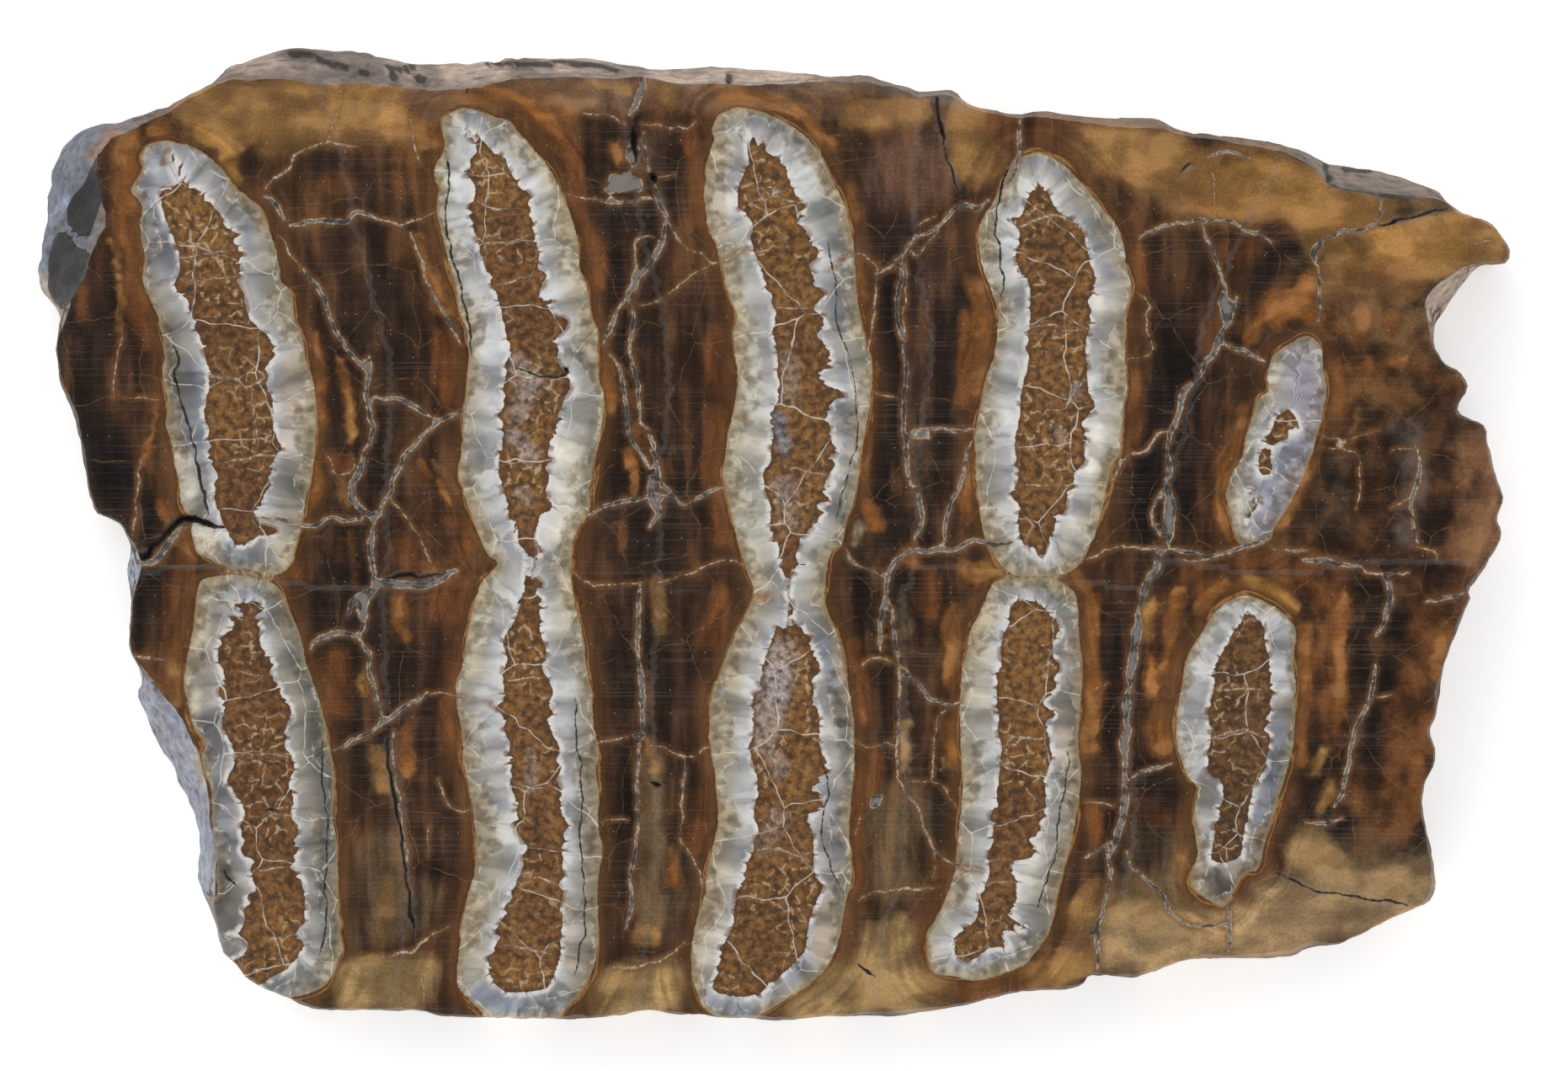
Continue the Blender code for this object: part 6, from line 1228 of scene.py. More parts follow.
def roughen(grid, natural):
    """Breaks the smooth wall up with lumps, ridges, facets and grooves, within the slab's box."""
    spots = grid.reshape(-1, 3)
    skin = np.tile(natural, len(grid))
    ridges = wander(spots * (0.16, 0.9, 0.9), 0.8, 41)
    lumps = 0.14 * (1 + wander(spots, 2.4, 42)) + 0.07 * (1 + wander(spots, 0.7, 43)) + 0.16 * (1 + ridges)
    steps = np.round(2.2 * wander(spots * (1, 1, 0.6), 1.9, 44)) / 2.2
    broken = 0.13 * (1 + steps) + 0.07 * (1 + wander(spots, 0.55, 45)) + 0.08 * (1 + wander(spots, 1.3, 46))
    depth = skin * lumps + (1 - skin) * broken - MEAN_RELIEF
    depth += FACET_DEPTH * smoothstep(0, 0.35, facet_reach(spots[:, :2]))
    depth += groove_depth(spots[:, :2], CRUST_GROOVES)
    height = spots[:, 2] / THICKNESS
    fade = smoothstep(0, 0.06, height) * smoothstep(0, 0.045, 1 - height)
    moved = spots - outward(grid).reshape(-1, 3) * (depth * fade)[:, None]
    moved = np.clip(moved, 0, (LENGTH, WIDTH, THICKNESS))
    return moved.reshape(grid.shape)


class Fields:
    """The slab's cross-section: where the tissues and the cracks are, for any flat point."""

    def __init__(self):
        loops = [smooth_path(loop, LOOP_STEP, closed=True) for loop in LOOPS.values()]
        cores = [smooth_path(core, CORE_STEP, closed=True) for core in CORES]
        self.outers = [wobble(path, 0.07, 0.6, 51) for path in loops]
        self.inners = [wobble(path, 0.1, 0.45, 53) for path in cores]
        self.outer = Lines(self.outers, closed=True)
        self.inner = Lines(self.inners, closed=True)
        self.rounds = np.vstack([self.round_places(path, 60 * i) for i, path in enumerate(self.outers)])
        self.cracks = []
        for cracks, seed in ((FISSURES, 61), (VEINS, 71), (HAIRS, 81)):
            paths, widths = crack_lines(cracks, CRACK_STEP, seed)
            self.cracks.append((paths, widths, Lines(paths, closed=False)))

    def round_places(self, path, offset):
        """A loop's outline laid on a circle of its own length, so that noise can follow it round."""
        steps = np.hypot(*(np.roll(path, -1, axis=0) - path).T)
        girth = steps.sum()
        angle = 2 * math.pi * (np.cumsum(steps) - steps) / girth
        return np.column_stack([np.cos(angle), np.sin(angle)]) * girth / (2 * math.pi) + offset

    def signed(self, lines, outlines, flat):
        """How far inside the outlines each point lies, negative outside, and its nearest sample."""
        far, index = lines.nearest(flat)
        within = np.zeros(len(flat), bool)
        for outline in outlines:
            within |= inside(outline, flat)
        return np.where(within, far, -far), index

    def crack_reach(self, kind, flat):
        """How far past the side of the nearest crack of a kind each point is; negative within it."""
        widths, lines = self.cracks[kind][1:]
        far, index = lines.nearest(flat)
        return far - widths[index]

    def tissues(self, flat):
        """Distances into the enamel loops and into the dentine, and the place round a loop."""
        outer, index = self.signed(self.outer, self.outers, flat)
        inner = self.signed(self.inner, self.inners, flat)[0]
        return outer, inner, np.column_stack([self.rounds[index], outer])


def face_mesh(fields, rim, spacing, fine):
    """A sawn face inside its rim, with points along the outlines and cracks."""
    plan = FacePlan(rim)
    if fine:
        fissures, veins, hairs = (cracks[0] for cracks in fields.cracks)
        for path in fissures + veins:
            plan.line(path)
        for path in hairs:
            plan.line(path, joined=False)
    for outline in fields.outers + fields.inners:
        plan.line(outline[::OUTLINE_SKIP if fine else BACK_OUTLINE_SKIP], closed=True, joined=False)
    plan.lattice(spacing)
    return plan.triangles()


def relief(fields, flat):
    """How deep the polished face is cut at each point: cracks, veins and the softer tissues."""
    outer, inner = fields.tissues(flat)[:2]
    fissure, vein, hair = (fields.crack_reach(kind, flat) for kind in range(3))
    depth = CEMENTUM_DROP * smoothstep(0, 0.4, -outer)
    depth += (DENTINE_DROP + 0.02 * wander(flat, 0.6, 91)) * smoothstep(-0.1, 0.2, inner)
    depth = np.maximum(depth, np.clip(-2.4 * fissure, 0, 0.7))
    depth = np.maximum(depth, np.clip(-1.2 * vein, 0, 0.14) * (1 + 0.5 * wander(flat, 0.5, 92)))
    return np.maximum(depth, np.clip(-0.8 * hair, 0, 0.05))


def brush(flat, ground, strokes, seed):
    """Lays broad strokes of colour over a ground, with ragged edges."""
    warped = flat + 0.55 * np.column_stack([wander(flat, 2.1, seed), wander(flat, 2.1, seed + 1)])
    warped = warped + 0.22 * np.column_stack([wander(flat, 0.7, seed + 2), wander(flat, 1.6, seed + 3)])
    cover = 0.82 + 0.3 * wander(flat * (1, 0.35), 0.8, seed + 4)
    colours = np.array(ground, float)
    for name, strength, radius, points in strokes:
        path = smooth_path(points, STROKE_STEP)
        low, high = path.min(0) - 1.6 * radius, path.max(0) + 1.6 * radius
        near = np.nonzero(np.all((warped > low) & (warped < high), axis=1))[0]
        if not len(near):
            continue
        gaps = warped[near][:, None, :] - path[None, :, :]
        far = np.sqrt((gaps ** 2).sum(2).min(1))
        fade = 1 - smoothstep(0.5 * radius, 1.35 * radius + 0.1, far)
        amount = strength * np.clip(cover[near], 0, 1) * fade
        colours[near] += amount[:, None] * (linear(PALETTE[name]) - colours[near])
    return colours


def blend(share, first, second):
    """A mix of two palette colours by a share for each point."""
    share = np.clip(share, 0, 1)[:, None]
    return linear(PALETTE[first]) * (1 - share) + linear(PALETTE[second]) * share


def tissue_colours(flat, outer, inner):
    """The wash of colour that each tissue would have at each point."""
    growth = wander(np.column_stack([outer * 1.1, flat[:, 1] * 0.16]), 0.9, 101)
    pools = wander(flat * (1, 0.4), 2.6, 102)
    ground = blend(0.5 + 0.42 * pools + 0.3 * growth, "umber", "bark")
    cementum = brush(flat, ground, CEMENTUM_WASHES + CEMENTUM_STREAKS, 111)
    cementum *= (1 + 0.2 * growth + 0.12 * wander(flat * (1, 0.2), 0.6, 103))[:, None]
    layer = np.clip(outer / np.maximum(outer - inner, 0.3), 0, 1)
    ground = blend(layer + 0.25 * wander(flat, 0.9, 104), "ochre", "ice")
    enamel = brush(flat, ground, ENAMEL_WASHES, 121)
    ground = blend(0.5 + 0.5 * wander(flat, 1.7, 105), "nut", "gold")
    dentine = brush(flat, ground, DENTINE_WASHES, 131)
    ground = blend(0.5 + 0.5 * wander(flat, 2.2, 106), "crust", "mauve")
    skin = brush(flat, ground, SKIN_WASHES, 141)
    return {"cementum": cementum, "enamel": enamel, "dentine": dentine, "skin": skin}


def write_marks(mesh, name, *columns):
    """Three numbers for each point of the mesh, for the material to read."""
    attribute = mesh.attributes.new(name, "FLOAT_VECTOR", "POINT")
    attribute.data.foreach_set("vector", np.column_stack(columns).astype(np.float32).ravel())


def write_colours(mesh, name, colours):
    attribute = mesh.attributes.new(name, "FLOAT_COLOR", "POINT")
    values = np.column_stack([np.clip(colours, 0, 1), np.ones(len(colours))])
    attribute.data.foreach_set("color", values.astype(np.float32).ravel())


def wall_faces(rings):
    """Two triangles between each pair of neighbours in rings of point numbers."""
    faces = []
    for low, high in zip(rings, rings[1:]):
        a, b, c, d = low, np.roll(low, -1), np.roll(high, -1), high
        faces += [np.column_stack([a, c, b]), np.column_stack([a, d, c])]
    return np.vstack(faces)


def mark_slab(mesh, fields, points, top_flat, top_rim, flat_count, natural):
    """Writes to each point its place among the tissues, cracks and sides, and its washes of colour."""
    flat = points[:, :2] + np.array(LEAN) * (THICKNESS - points[:, 2:3])
    flat[:len(top_flat)] = top_flat
    wall_count = len(points) - flat_count
    wall = np.concatenate([np.zeros(flat_count), np.ones(wall_count)])
    wall[top_rim] = 0.5
    faded = np.mean([np.roll(natural, turn) for turn in range(-4, 5)], axis=0)
    shell = np.concatenate([np.zeros(flat_count), np.tile(faded, wall_count // STATIONS)])
    shell[top_rim] = faded
    facet = np.where(wall > 0, facet_reach(points[:, :2]), OUTSIDE)
    groove = np.where(wall > 0, groove_depth(flat, CRUST_GROOVES), 0)
    outer, inner, around = fields.tissues(flat)
    write_marks(mesh, "tissue", outer, inner, facet)
    write_marks(mesh, "band", around)
    write_marks(mesh, "crack", *(fields.crack_reach(kind, flat) for kind in range(3)))
    write_marks(mesh, "side", wall, shell, groove)
    for name, colours in tissue_colours(flat, outer, inner).items():
        write_colours(mesh, name, colours)


def slab_mesh():
    """The whole slab as one closed mesh, with its tissues and cracks as attributes."""
    fields = Fields()
    smooth_grid, skin = wall_grid()
    natural = smoothstep(0.45, 1.1, skin)
    grid = roughen(smooth_grid, natural)
    top_flat, top_faces, top_rim = face_mesh(fields, grid[-1, :, :2], TOP_SPACING, fine=True)
    back_flat, back_faces, back_rim = face_mesh(fields, grid[0, :, :2], BACK_SPACING, fine=False)
    top = np.column_stack([top_flat, THICKNESS - relief(fields, top_flat)])
    back = np.column_stack([back_flat, np.zeros(len(back_flat))])
    points = np.vstack([top, back, grid[1:-1].reshape(-1, 3)])
    flat_count = len(top) + len(back)
    rings = [flat_count + STATIONS * ring + np.arange(STATIONS) for ring in range(len(grid) - 2)]
    sides = wall_faces([len(top) + back_rim, *rings, top_rim])
    faces = np.vstack([top_faces, len(top) + back_faces[:, ::-1], sides])

    mesh = bpy.data.meshes.new("tooth_slab")
    mesh.from_pydata((points * MM + np.array(LOW)).tolist(), [], faces.tolist())
    mesh.validate()
    mesh.update()
    mark_slab(mesh, fields, points, top_flat, top_rim, flat_count, natural)
    mesh.shade_smooth()
    mesh.set_sharp_from_angle(angle=math.radians(32))
    return mesh


class Graph:
    """Writes one material's nodes as calls."""

    def __init__(self, material):
        self.nodes = material.node_tree.nodes
        self.links = material.node_tree.links

    def put(self, socket, value):
        if isinstance(value, bpy.types.NodeSocket):
            self.links.new(value, socket)
        else:
            socket.default_value = value

    def math(self, operation, first, second=0.0, clamp=False):
        node = self.nodes.new("ShaderNodeMath")
        node.operation = operation
        node.use_clamp = clamp
        self.put(node.inputs[0], first)
        self.put(node.inputs[1], second)
        return node.outputs[0]

    def plus(self, first, second):
        return self.math("ADD", first, second)

    def minus(self, first, second):
        return self.math("SUBTRACT", first, second)

    def times(self, first, second):
        return self.math("MULTIPLY", first, second)

    def vector(self, operation, first, second):
        node = self.nodes.new("ShaderNodeVectorMath")
        node.operation = operation
        self.put(node.inputs[0], first)
        self.put(node.inputs["Scale" if operation == "SCALE" else 1], second)
        return node.outputs[0]

    def scaled(self, vector, factor):
        return self.vector("SCALE", vector, factor)

    def stretched(self, vector, factors):
        return self.vector("MULTIPLY", vector, factors)

    def split(self, vector):
        node = self.nodes.new("ShaderNodeSeparateXYZ")
        self.put(node.inputs[0], vector)
        return node.outputs

    def attribute(self, name, output="Vector"):
        node = self.nodes.new("ShaderNodeAttribute")
        node.attribute_name = name
        return node.outputs[output]

    def noise_node(self, place, scale, detail, dimensions):
        node = self.nodes.new("ShaderNodeTexNoise")
        node.noise_dimensions = dimensions
        self.put(node.inputs["Vector"], place)
        node.inputs["Scale"].default_value = scale
        node.inputs["Detail"].default_value = detail
        return node

    def noise(self, place, scale, detail, dimensions="3D"):
        return self.noise_node(place, scale, detail, dimensions).outputs["Fac"]

    def drifts(self, place, scale):
        """Flat noise as a vector about zero."""
        node = self.noise_node(place, scale, 1.0, "2D")
        return self.vector("SUBTRACT", node.outputs["Color"], (0.5, 0.5, 0.5))

    def cells(self, place, scale, feature="F1"):
        node = self.nodes.new("ShaderNodeTexVoronoi")
        node.voronoi_dimensions = "2D"
        node.feature = feature
        self.put(node.inputs["Vector"], place)
        node.inputs["Scale"].default_value = scale
        return node.outputs

    def ramp(self, value, low, high, start=0.0, end=1.0):
        """A smooth step from start to end as value goes from low to high."""
        node = self.nodes.new("ShaderNodeMapRange")
        node.interpolation_type = "SMOOTHSTEP"
        for socket, given in zip(node.inputs, (value, low, high, start, end)):
            self.put(socket, given)
        return node.outputs[0]

    def between(self, share, first, second):
        """A value that goes from first to second with the share."""
        return self.ramp(share, 0, 1, first, second)

    def swing(self, value, reach):
        """Noise as a factor that runs from 1 - reach to 1 + reach."""
        return self.ramp(value, 0.34, 0.66, 1 - reach, 1 + reach)

    def mix(self, factor, first, second, method="MIX"):
        node = self.nodes.new("ShaderNodeMix")
        node.data_type = "RGBA"
        node.blend_type = method
        self.put(node.inputs[0], factor)
        self.put(node.inputs[6], first)
        self.put(node.inputs[7], second)
        return node.outputs[2]

    def bands(self, value, stops):
        node = self.nodes.new("ShaderNodeValToRGB")
        self.put(node.inputs[0], value)
        elements = node.color_ramp.elements
        elements[0].position, elements[0].color = stops[0]
        elements[1].position, elements[1].color = stops[-1]
        for position, colour in stops[1:-1]:
            elements.new(position).color = colour
        return node.outputs


def tint(name):
    """One of the material's own colours, as a socket takes it."""
    return (*TINTS[name], 1)


def slab_marks(graph):
    """The mesh's marks and the noises they share, with the enamel's two edges made ragged."""
    marks = SimpleNamespace()
    marks.place = graph.scaled(graph.nodes.new("ShaderNodeTexCoord").outputs["Object"], 1 / MM)
    outer, marks.core_depth, marks.facet = graph.split(graph.attribute("tissue"))
    marks.reaches = graph.split(graph.attribute("crack"))
    marks.wall, marks.natural, marks.groove = graph.split(graph.attribute("side"))
    marks.around = graph.attribute("band")
    marks.grain = graph.noise(marks.place, 5.0, 2)
    marks.mottle = graph.noise(marks.place, 1.3, 3)
    marks.drift = graph.noise(marks.place, 0.2, 2, "2D")
    marks.uneven = graph.minus(graph.noise(marks.place, 3.2, 3), 0.5)
    marks.outer = graph.plus(outer, graph.times(marks.uneven, EDGE_RAGGED))
    marks.lobes = graph.cells(marks.around, 1.6)["Distance"]
    notches = graph.times(graph.minus(marks.lobes, 0.42), graph.ramp(marks.drift, 0.4, 0.6, 0.55, 0.1))
    marks.inner = graph.plus(marks.core_depth, graph.plus(notches, graph.times(marks.uneven, EDGE_RAGGED)))
    marks.in_enamel = graph.ramp(marks.outer, -0.035, 0.035)
    marks.in_dentine = graph.times(graph.ramp(marks.inner, -0.03, 0.03), marks.in_enamel)
    return marks


def cementum_colour(graph, marks):
    """Dark to honey brown: streaks along the plates, growth lines round the loops and a rusty rim."""
    base = graph.attribute("cementum", "Color")
    light = graph.ramp(graph.split(base)[0], 0.07, 0.2)
    growth = graph.noise(graph.stretched(marks.around, (0.22, 0.22, 1.6)), 1.0, 3)
    blotches = graph.noise(marks.place, 0.42, 4, "2D")
    strokes = graph.noise(graph.stretched(marks.place, (0.2, 0.4, 1.0)), 1.0, 4, "2D")
    streaks = graph.noise(graph.stretched(marks.place, (0.75, 0.12, 1.0)), 1.0, 3, "2D")
    streaks = graph.plus(graph.times(streaks, 0.7), graph.times(blotches, 0.3))
    past_plates = graph.ramp(graph.split(marks.place)[0], *PLATES_END)
    streaks = graph.between(past_plates, streaks, blotches)
    fair = graph.times(graph.swing(marks.drift, 0.16), graph.swing(strokes, 0.3))
    tone = graph.between(light, graph.swing(streaks, 0.55), fair)
    near_loop = graph.ramp(marks.outer, -4.5, -1.5)
    tone = graph.times(tone, graph.between(near_loop, 1.0, graph.swing(growth, 0.3)))
    colour = graph.scaled(base, graph.times(tone, graph.swing(marks.grain, 0.14)))
    glow = graph.times(graph.ramp(streaks, 0.56, 0.68), graph.between(light, 0.26, 0.0))
    colour = graph.mix(glow, colour, tint("glow"))
    gilt = graph.times(graph.ramp(strokes, 0.5, 0.62), graph.ramp(light, 0.5, 1, 0.0, 0.3))
    colour = graph.mix(gilt, colour, tint("gilt"))
    shadow = graph.times(graph.ramp(blotches, 0.47, 0.36), graph.ramp(light, 0.2, 1, 0.0, 0.32))
    colour = graph.mix(shadow, colour, tint("shadow"))
    # Pale saw scratches: partly their own colour, partly a painted sheen of reflected light, stronger in
    # drifting patches
    scratches = graph.noise(graph.stretched(marks.place, (0.06, 7.0, 1.0)), 1.0, 2, "2D")
    scratch_sheen = graph.times(graph.ramp(scratches, 0.52, 0.72), graph.ramp(marks.drift, 0.4, 0.6, 0.015, 0.06))
    colour = graph.mix(scratch_sheen, colour, tint("scratch_sheen"))
    away = graph.plus(graph.times(graph.minus(growth, 0.5), 1.8), 0.1)
    rim = graph.bands(graph.times(graph.minus(away, marks.outer), 1 / RIM_WIDTH), RIM_BANDS)
    colour = graph.mix(rim["Alpha"], colour, rim["Color"])
    spots = graph.cells(marks.place, 1.2)
    limit = graph.ramp(blotches, 0.44, 0.6, 0.99, 0.84)
    rare = graph.math("GREATER_THAN", graph.split(spots["Color"])[0], limit)
    dust = graph.times(graph.ramp(spots["Distance"], 0.07, 0.03), rare)
    return graph.mix(graph.times(dust, 0.6), colour, tint("dust"))


def enamel_colour(graph, marks):
    """A mossy mottled layer outside, a pillowed blue-grey one inside, and a lobed white edge."""
    base = graph.attribute("enamel", "Color")
    mottle = marks.mottle
    fibres = graph.noise(graph.stretched(marks.around, (1.7, 1.7, 0.7)), 1.0, 3)
    width = graph.math("MAXIMUM", graph.minus(marks.outer, marks.inner), 0.05)
    layer = graph.plus(graph.math("DIVIDE", marks.outer, width), graph.times(graph.minus(mottle, 0.5), 0.6))
    past = graph.minus(layer, graph.ramp(marks.drift, 0.38, 0.62, 0.12, 0.62))
    moss = graph.mix(graph.ramp(mottle, 0.36, 0.6), tint("moss"), tint("clear of moss"))
    outside = graph.mix(1.0, graph.scaled(base, graph.swing(fibres, 0.22)), moss, "MULTIPLY")
    pillows = graph.cells(marks.around, 0.5)
    pillow = graph.ramp(pillows["Distance"], 0.15, 0.8, 1.16, 0.52)
    pillow = graph.times(pillow, graph.between(graph.split(pillows["Color"])[0], 0.86, 1.16))
    within = graph.scaled(base, graph.times(pillow, graph.swing(fibres, 0.12)))
    colour = graph.mix(graph.ramp(past, -0.2, 0.14), outside, within)
    seam_strength = graph.ramp(mottle, 0.44, 0.58, 0.05, 0.6)
    seam = graph.ramp(graph.math("ABSOLUTE", past), 0.05, 0.01, 0.0, seam_strength)
    seam_colour = graph.mix(graph.ramp(fibres, 0.38, 0.48), tint("seam"), tint("bright seam"))
    colour = graph.mix(seam, colour, seam_colour)
    lip = graph.times(graph.ramp(marks.inner, -0.5, -0.15), graph.ramp(mottle, 0.38, 0.56, 0.1, 0.85))
    colour = graph.mix(lip, colour, tint("lip"))
    gaps = graph.times(graph.ramp(marks.lobes, 0.5, 0.62), graph.ramp(marks.inner, -0.45, -0.1, 0.0, 0.7))
    colour = graph.mix(gaps, colour, tint("lobe gap"))
    fringe = graph.ramp(graph.plus(marks.outer, graph.times(mottle, 0.6)), 0.6, 0.3, 0.0, 0.55)
    return graph.mix(fringe, colour, tint("fringe")), fibres


def dentine_colour(graph, marks):
    """Granular golden brown with painted shade in its pits, a patchy net of fine cream ridges and a redder
    edge.
    """
    base = graph.attribute("dentine", "Color")
    clumps = graph.noise(marks.place, 1.8, 4)
    colour = graph.scaled(base, graph.times(graph.swing(clumps, 0.46), graph.swing(marks.grain, 0.2)))
    colour = graph.mix(1.0, colour, tint("dentine cast"), "MULTIPLY")
    warped = graph.vector("ADD", marks.place, graph.scaled(graph.drifts(marks.place, 1.1), 0.8))
    web = graph.cells(warped, 0.8, "DISTANCE_TO_EDGE")["Distance"]
    ridges = graph.times(graph.ramp(web, 0.1, 0.02), graph.ramp(marks.drift, 0.46, 0.6, 0.1, 0.65))
    ridges = graph.times(ridges, graph.ramp(clumps, 0.42, 0.56))
    colour = graph.mix(ridges, colour, tint("ridge"))
    # Painted shade: the pits, where the clumps and the bump sink lowest, are painted dark
    colour = graph.mix(graph.ramp(clumps, 0.39, 0.32, 0.0, 0.6), colour, tint("pit_shade"))
    colour = graph.mix(graph.ramp(marks.inner, 0.45, 0.03, 0.0, 0.7), colour, tint("core edge"))
    return colour, clumps


def crack_colour(graph, marks, colour):
    """Fine cross-lines, pale hairlines, veins with broken pale sides, and open fissures painted near-black
    as shade.
    """
    ragged = graph.times(marks.uneven, CRACK_RAGGED)
    fissure, vein, hair = (graph.plus(reach, ragged) for reach in marks.reaches)
    mottle = marks.mottle
    broken = graph.ramp(mottle, 0.38, 0.56, 0.2, 0.95)
    turns = graph.scaled(graph.drifts(marks.place, 0.5), 0.16)
    crossed = graph.vector("ADD", graph.scaled(marks.place, 0.19), turns)
    net = graph.cells(crossed, 1.0, "DISTANCE_TO_EDGE")["Distance"]
    crossing = graph.times(graph.ramp(net, 0.012, 0.004), broken)
    crossing = graph.times(crossing, graph.between(marks.in_enamel, 0.38, 0.75))
    line_colour = graph.mix(marks.in_enamel, tint("line in cementum"), tint("line in enamel"))
    colour = graph.mix(crossing, colour, line_colour)
    stain = graph.ramp(graph.math("MINIMUM", vein, hair), 0.42, 0.0, 0.0, 0.5)
    colour = graph.mix(graph.times(stain, graph.swing(mottle, 0.6)), colour, tint("stain"))
    pale = graph.mix(graph.ramp(marks.grain, 0.4, 0.6), tint("dull mineral"), tint("pale mineral"))
    colour = graph.mix(graph.times(graph.ramp(hair, 0.03, -0.05), broken), colour, pale)
    fill = graph.ramp(vein, 0.03, -0.03)
    core = graph.mix(graph.ramp(mottle, 0.40, 0.56), tint("dark filling"), tint("grey filling"))
    core = graph.mix(graph.ramp(vein, -0.16, -0.34, 0.0, 0.85), core, tint("wide filling"))
    colour = graph.mix(graph.times(fill, 0.9), colour, core)
    sides = graph.times(fill, graph.ramp(vein, -0.11, -0.04))
    colour = graph.mix(graph.times(sides, broken), colour, pale)
    # Painted shade: the open fissures are painted near-black, as their gaps would be in shadow
    gap = graph.ramp(fissure, 0.03, -0.04)
    colour = graph.mix(graph.times(gap, 0.95), colour, tint("fissure"))
    return colour, graph.math("MAXIMUM", fill, gap)


def side_colour(graph, marks, colour):
    """Dusty broken sides, and the lumpy natural skin where the tooth's outside is left, with painted shade
    in its hollows and grooves.
    """
    mottle = marks.mottle
    dusty = graph.mix(graph.ramp(mottle, 0.4, 0.65, 0.1, 0.4), colour, tint("side dust"))
    layers = graph.noise(graph.stretched(marks.place, (0.4, 1.6, 1.6)), 1.0, 4)
    tone = graph.times(graph.swing(mottle, 0.2), graph.swing(layers, 0.14))
    skin = graph.scaled(graph.attribute("skin", "Color"), graph.times(tone, graph.swing(marks.grain, 0.1)))
    # Painted shade: the hollows between the skin's layers, where the bump sinks lowest, are painted dark
    skin = graph.mix(graph.ramp(layers, 0.40, 0.33, 0.0, 0.5), skin, tint("hollow_shade"))
    # Painted shade: the crust's grooves and pits are painted near-black by their depth
    skin = graph.mix(graph.ramp(marks.groove, 0.1, 0.35, 0.0, 0.9), skin, tint("groove"))
    glass = graph.mix(graph.ramp(mottle, 0.4, 0.6), tint("glass"), tint("warm glass"))
    skin = graph.mix(graph.ramp(marks.facet, -0.05, 0.05), skin, glass)
    patchy = graph.plus(marks.natural, graph.times(graph.minus(mottle, 0.5), 2.0))
    side = graph.mix(graph.ramp(patchy, 0.4, 0.6), dusty, skin)
    return graph.mix(graph.ramp(marks.wall, 0.45, 0.62), colour, side), layers


def slab_roughness(graph, marks, filled):
    """A satin polish, duller in the dentine, the fillings and the sides, and glassy on the facets."""
    roughness = graph.times(graph.swing(marks.grain, 0.12), POLISH)
    roughness = graph.between(marks.in_dentine, roughness, DENTINE_ROUGHNESS)
    roughness = graph.plus(roughness, graph.times(filled, 0.3))
    roughness = graph.plus(roughness, graph.times(marks.wall, 0.4))
    gloss = graph.times(graph.ramp(marks.facet, 0.0, 0.1), 0.4)
    roughness = graph.math("SUBTRACT", roughness, gloss, clamp=True)
    return graph.math("MAXIMUM", roughness, GLASS_ROUGHNESS)


def slab_bump(graph, marks, fibres, clumps, layers):
    """Fibres in the enamel, clumps in the dentine, sunk veins and the coarser sides."""
    in_core = graph.ramp(marks.core_depth, -0.1, 0.1)
    height = graph.between(in_core, graph.times(fibres, 0.04), graph.times(clumps, 0.16))
    height = graph.plus(height, graph.times(marks.grain, 0.02))
    height = graph.plus(height, graph.ramp(marks.reaches[1], -0.1, 0.05, 0.0, 0.05))
    rough_side = graph.times(marks.wall, graph.plus(layers, graph.times(marks.grain, 0.4)))
    height = graph.plus(height, graph.times(rough_side, 0.26))
    bump = graph.nodes.new("ShaderNodeBump")
    bump.inputs["Strength"].default_value = BUMP_STRENGTH
    bump.inputs["Distance"].default_value = MM
    graph.put(bump.inputs["Height"], height)
    return bump.outputs[0]


def tooth_material():
    """Polished cementum, enamel and dentine with mineral-filled cracks, and the rough skin outside."""
    material = bpy.data.materials.new("fossil_tooth")
    material.use_nodes = True
    graph = Graph(material)
    marks = slab_marks(graph)
    enamel, fibres = enamel_colour(graph, marks)
    dentine, clumps = dentine_colour(graph, marks)
    colour = graph.mix(marks.in_enamel, cementum_colour(graph, marks), enamel)
    colour = graph.mix(marks.in_dentine, colour, dentine)
    colour, filled = crack_colour(graph, marks, colour)
    colour, layers = side_colour(graph, marks, colour)
    shader = graph.nodes["Principled BSDF"]
    graph.put(shader.inputs["Base Color"], colour)
    graph.put(shader.inputs["Roughness"], slab_roughness(graph, marks, filled))
    graph.put(shader.inputs["Normal"], slab_bump(graph, marks, fibres, clumps, layers))
    shader.inputs["Specular IOR Level"].default_value = SHINE
    return material


def add_slab():
    """The finished slab, in place of the plain one."""
    mesh = slab_mesh()
    mesh.materials.append(tooth_material())
    slab = bpy.data.objects.new("tooth_slab", mesh)
    bpy.context.scene.collection.objects.link(slab)
    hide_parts(NODE)
    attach(slab, "root")


def add_camera():
    """A long lens straight above the slab."""
    data = bpy.data.cameras.new("camera")
    data.sensor_width = SENSOR
    data.lens = SENSOR * CAMERA_HEIGHT / FRAME_WIDTH
    data.clip_start = 0.1
    data.clip_end = 20
    camera = bpy.data.objects.new("camera", data)
    centre = [(low + high) / 2 for low, high in zip(LOW, HIGH)]
    camera.location = (centre[0] + CAMERA_SHIFT[0], centre[1] + CAMERA_SHIFT[1], HIGH[2] + CAMERA_HEIGHT)
    bpy.context.scene.collection.objects.link(camera)
    bpy.context.scene.camera = camera


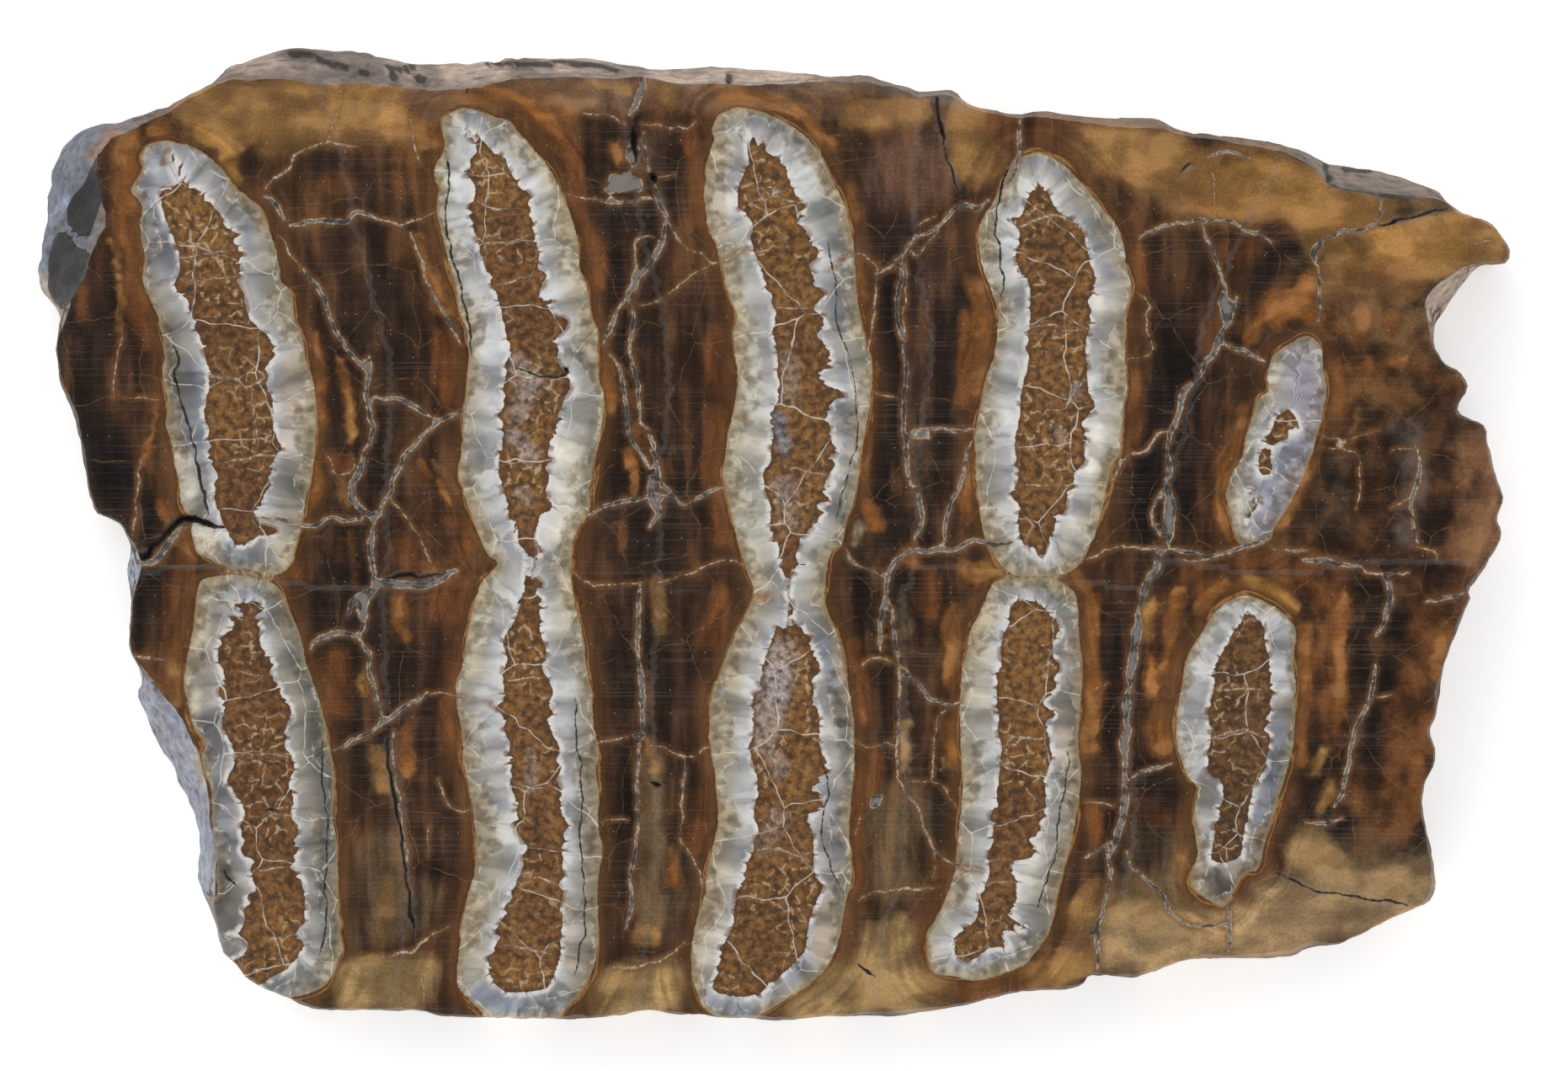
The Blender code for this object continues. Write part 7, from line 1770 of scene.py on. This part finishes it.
def add_floor():
    """A wide white floor with a little light of its own, so that it stays pale to its edges."""
    mesh = bpy.data.meshes.new("floor")
    low = LOW[2] - FLOOR_GAP
    corners = [(x * FLOOR_REACH, y * FLOOR_REACH, low) for x, y in ((-1, -1), (1, -1), (1, 1), (-1, 1))]
    mesh.from_pydata(corners, [], [(0, 1, 2, 3)])
    material = bpy.data.materials.new("floor")
    material.use_nodes = True
    shader = material.node_tree.nodes["Principled BSDF"]
    shader.inputs["Base Color"].default_value = (0.95, 0.95, 0.95, 1)
    shader.inputs["Roughness"].default_value = 0.9
    shader.inputs["Specular IOR Level"].default_value = 0.1
    shader.inputs["Emission Color"].default_value = (1, 1, 1, 1)
    shader.inputs["Emission Strength"].default_value = FLOOR_GLOW
    mesh.materials.append(material)
    floor = bpy.data.objects.new("floor", mesh)
    bpy.context.scene.collection.objects.link(floor)


def add_sky():
    """Pale light from all round the horizon, darker overhead so that the polish doesn't cloud over with
    reflections.
    """
    world = bpy.data.worlds.new("studio")
    bpy.context.scene.world = world
    world.use_nodes = True
    nodes, links = world.node_tree.nodes, world.node_tree.links
    direction = nodes.new("ShaderNodeTexCoord").outputs["Generated"]
    split = nodes.new("ShaderNodeSeparateXYZ")
    links.new(direction, split.inputs[0])
    fall = nodes.new("ShaderNodeMapRange")
    fall.interpolation_type = "SMOOTHSTEP"
    links.new(split.outputs["Z"], fall.inputs[0])
    for socket, value in zip(fall.inputs[1:5], (*SKY_FALL, SKY_SIDES, SKY_OVERHEAD)):
        socket.default_value = value
    background = nodes["Background"]
    background.inputs["Color"].default_value = (1, 1, 1, 1)
    links.new(fall.outputs[0], background.inputs["Strength"])


def add_lamp(name, azimuth, elevation, power, size):
    """A square softbox that looks at the slab from a direction in degrees."""
    data = bpy.data.lights.new(name, "AREA")
    data.size = size
    data.energy = power
    lamp = bpy.data.objects.new(name, data)
    turn, lift = math.radians(azimuth), math.radians(elevation)
    away = Vector((math.cos(turn) * math.cos(lift), math.sin(turn) * math.cos(lift), math.sin(lift)))
    lamp.location = away * LAMP_DISTANCE
    lamp.rotation_euler = away.to_track_quat("Z", "Y").to_euler()
    bpy.context.scene.collection.objects.link(lamp)


add_slab()
add_floor()
add_sky()
add_lamp("key", azimuth=125, elevation=52, power=2.6, size=0.9)
add_camera()
bpy.context.scene.view_settings.view_transform = "Standard"
bpy.context.scene.cycles.max_bounces = LIGHT_BOUNCES
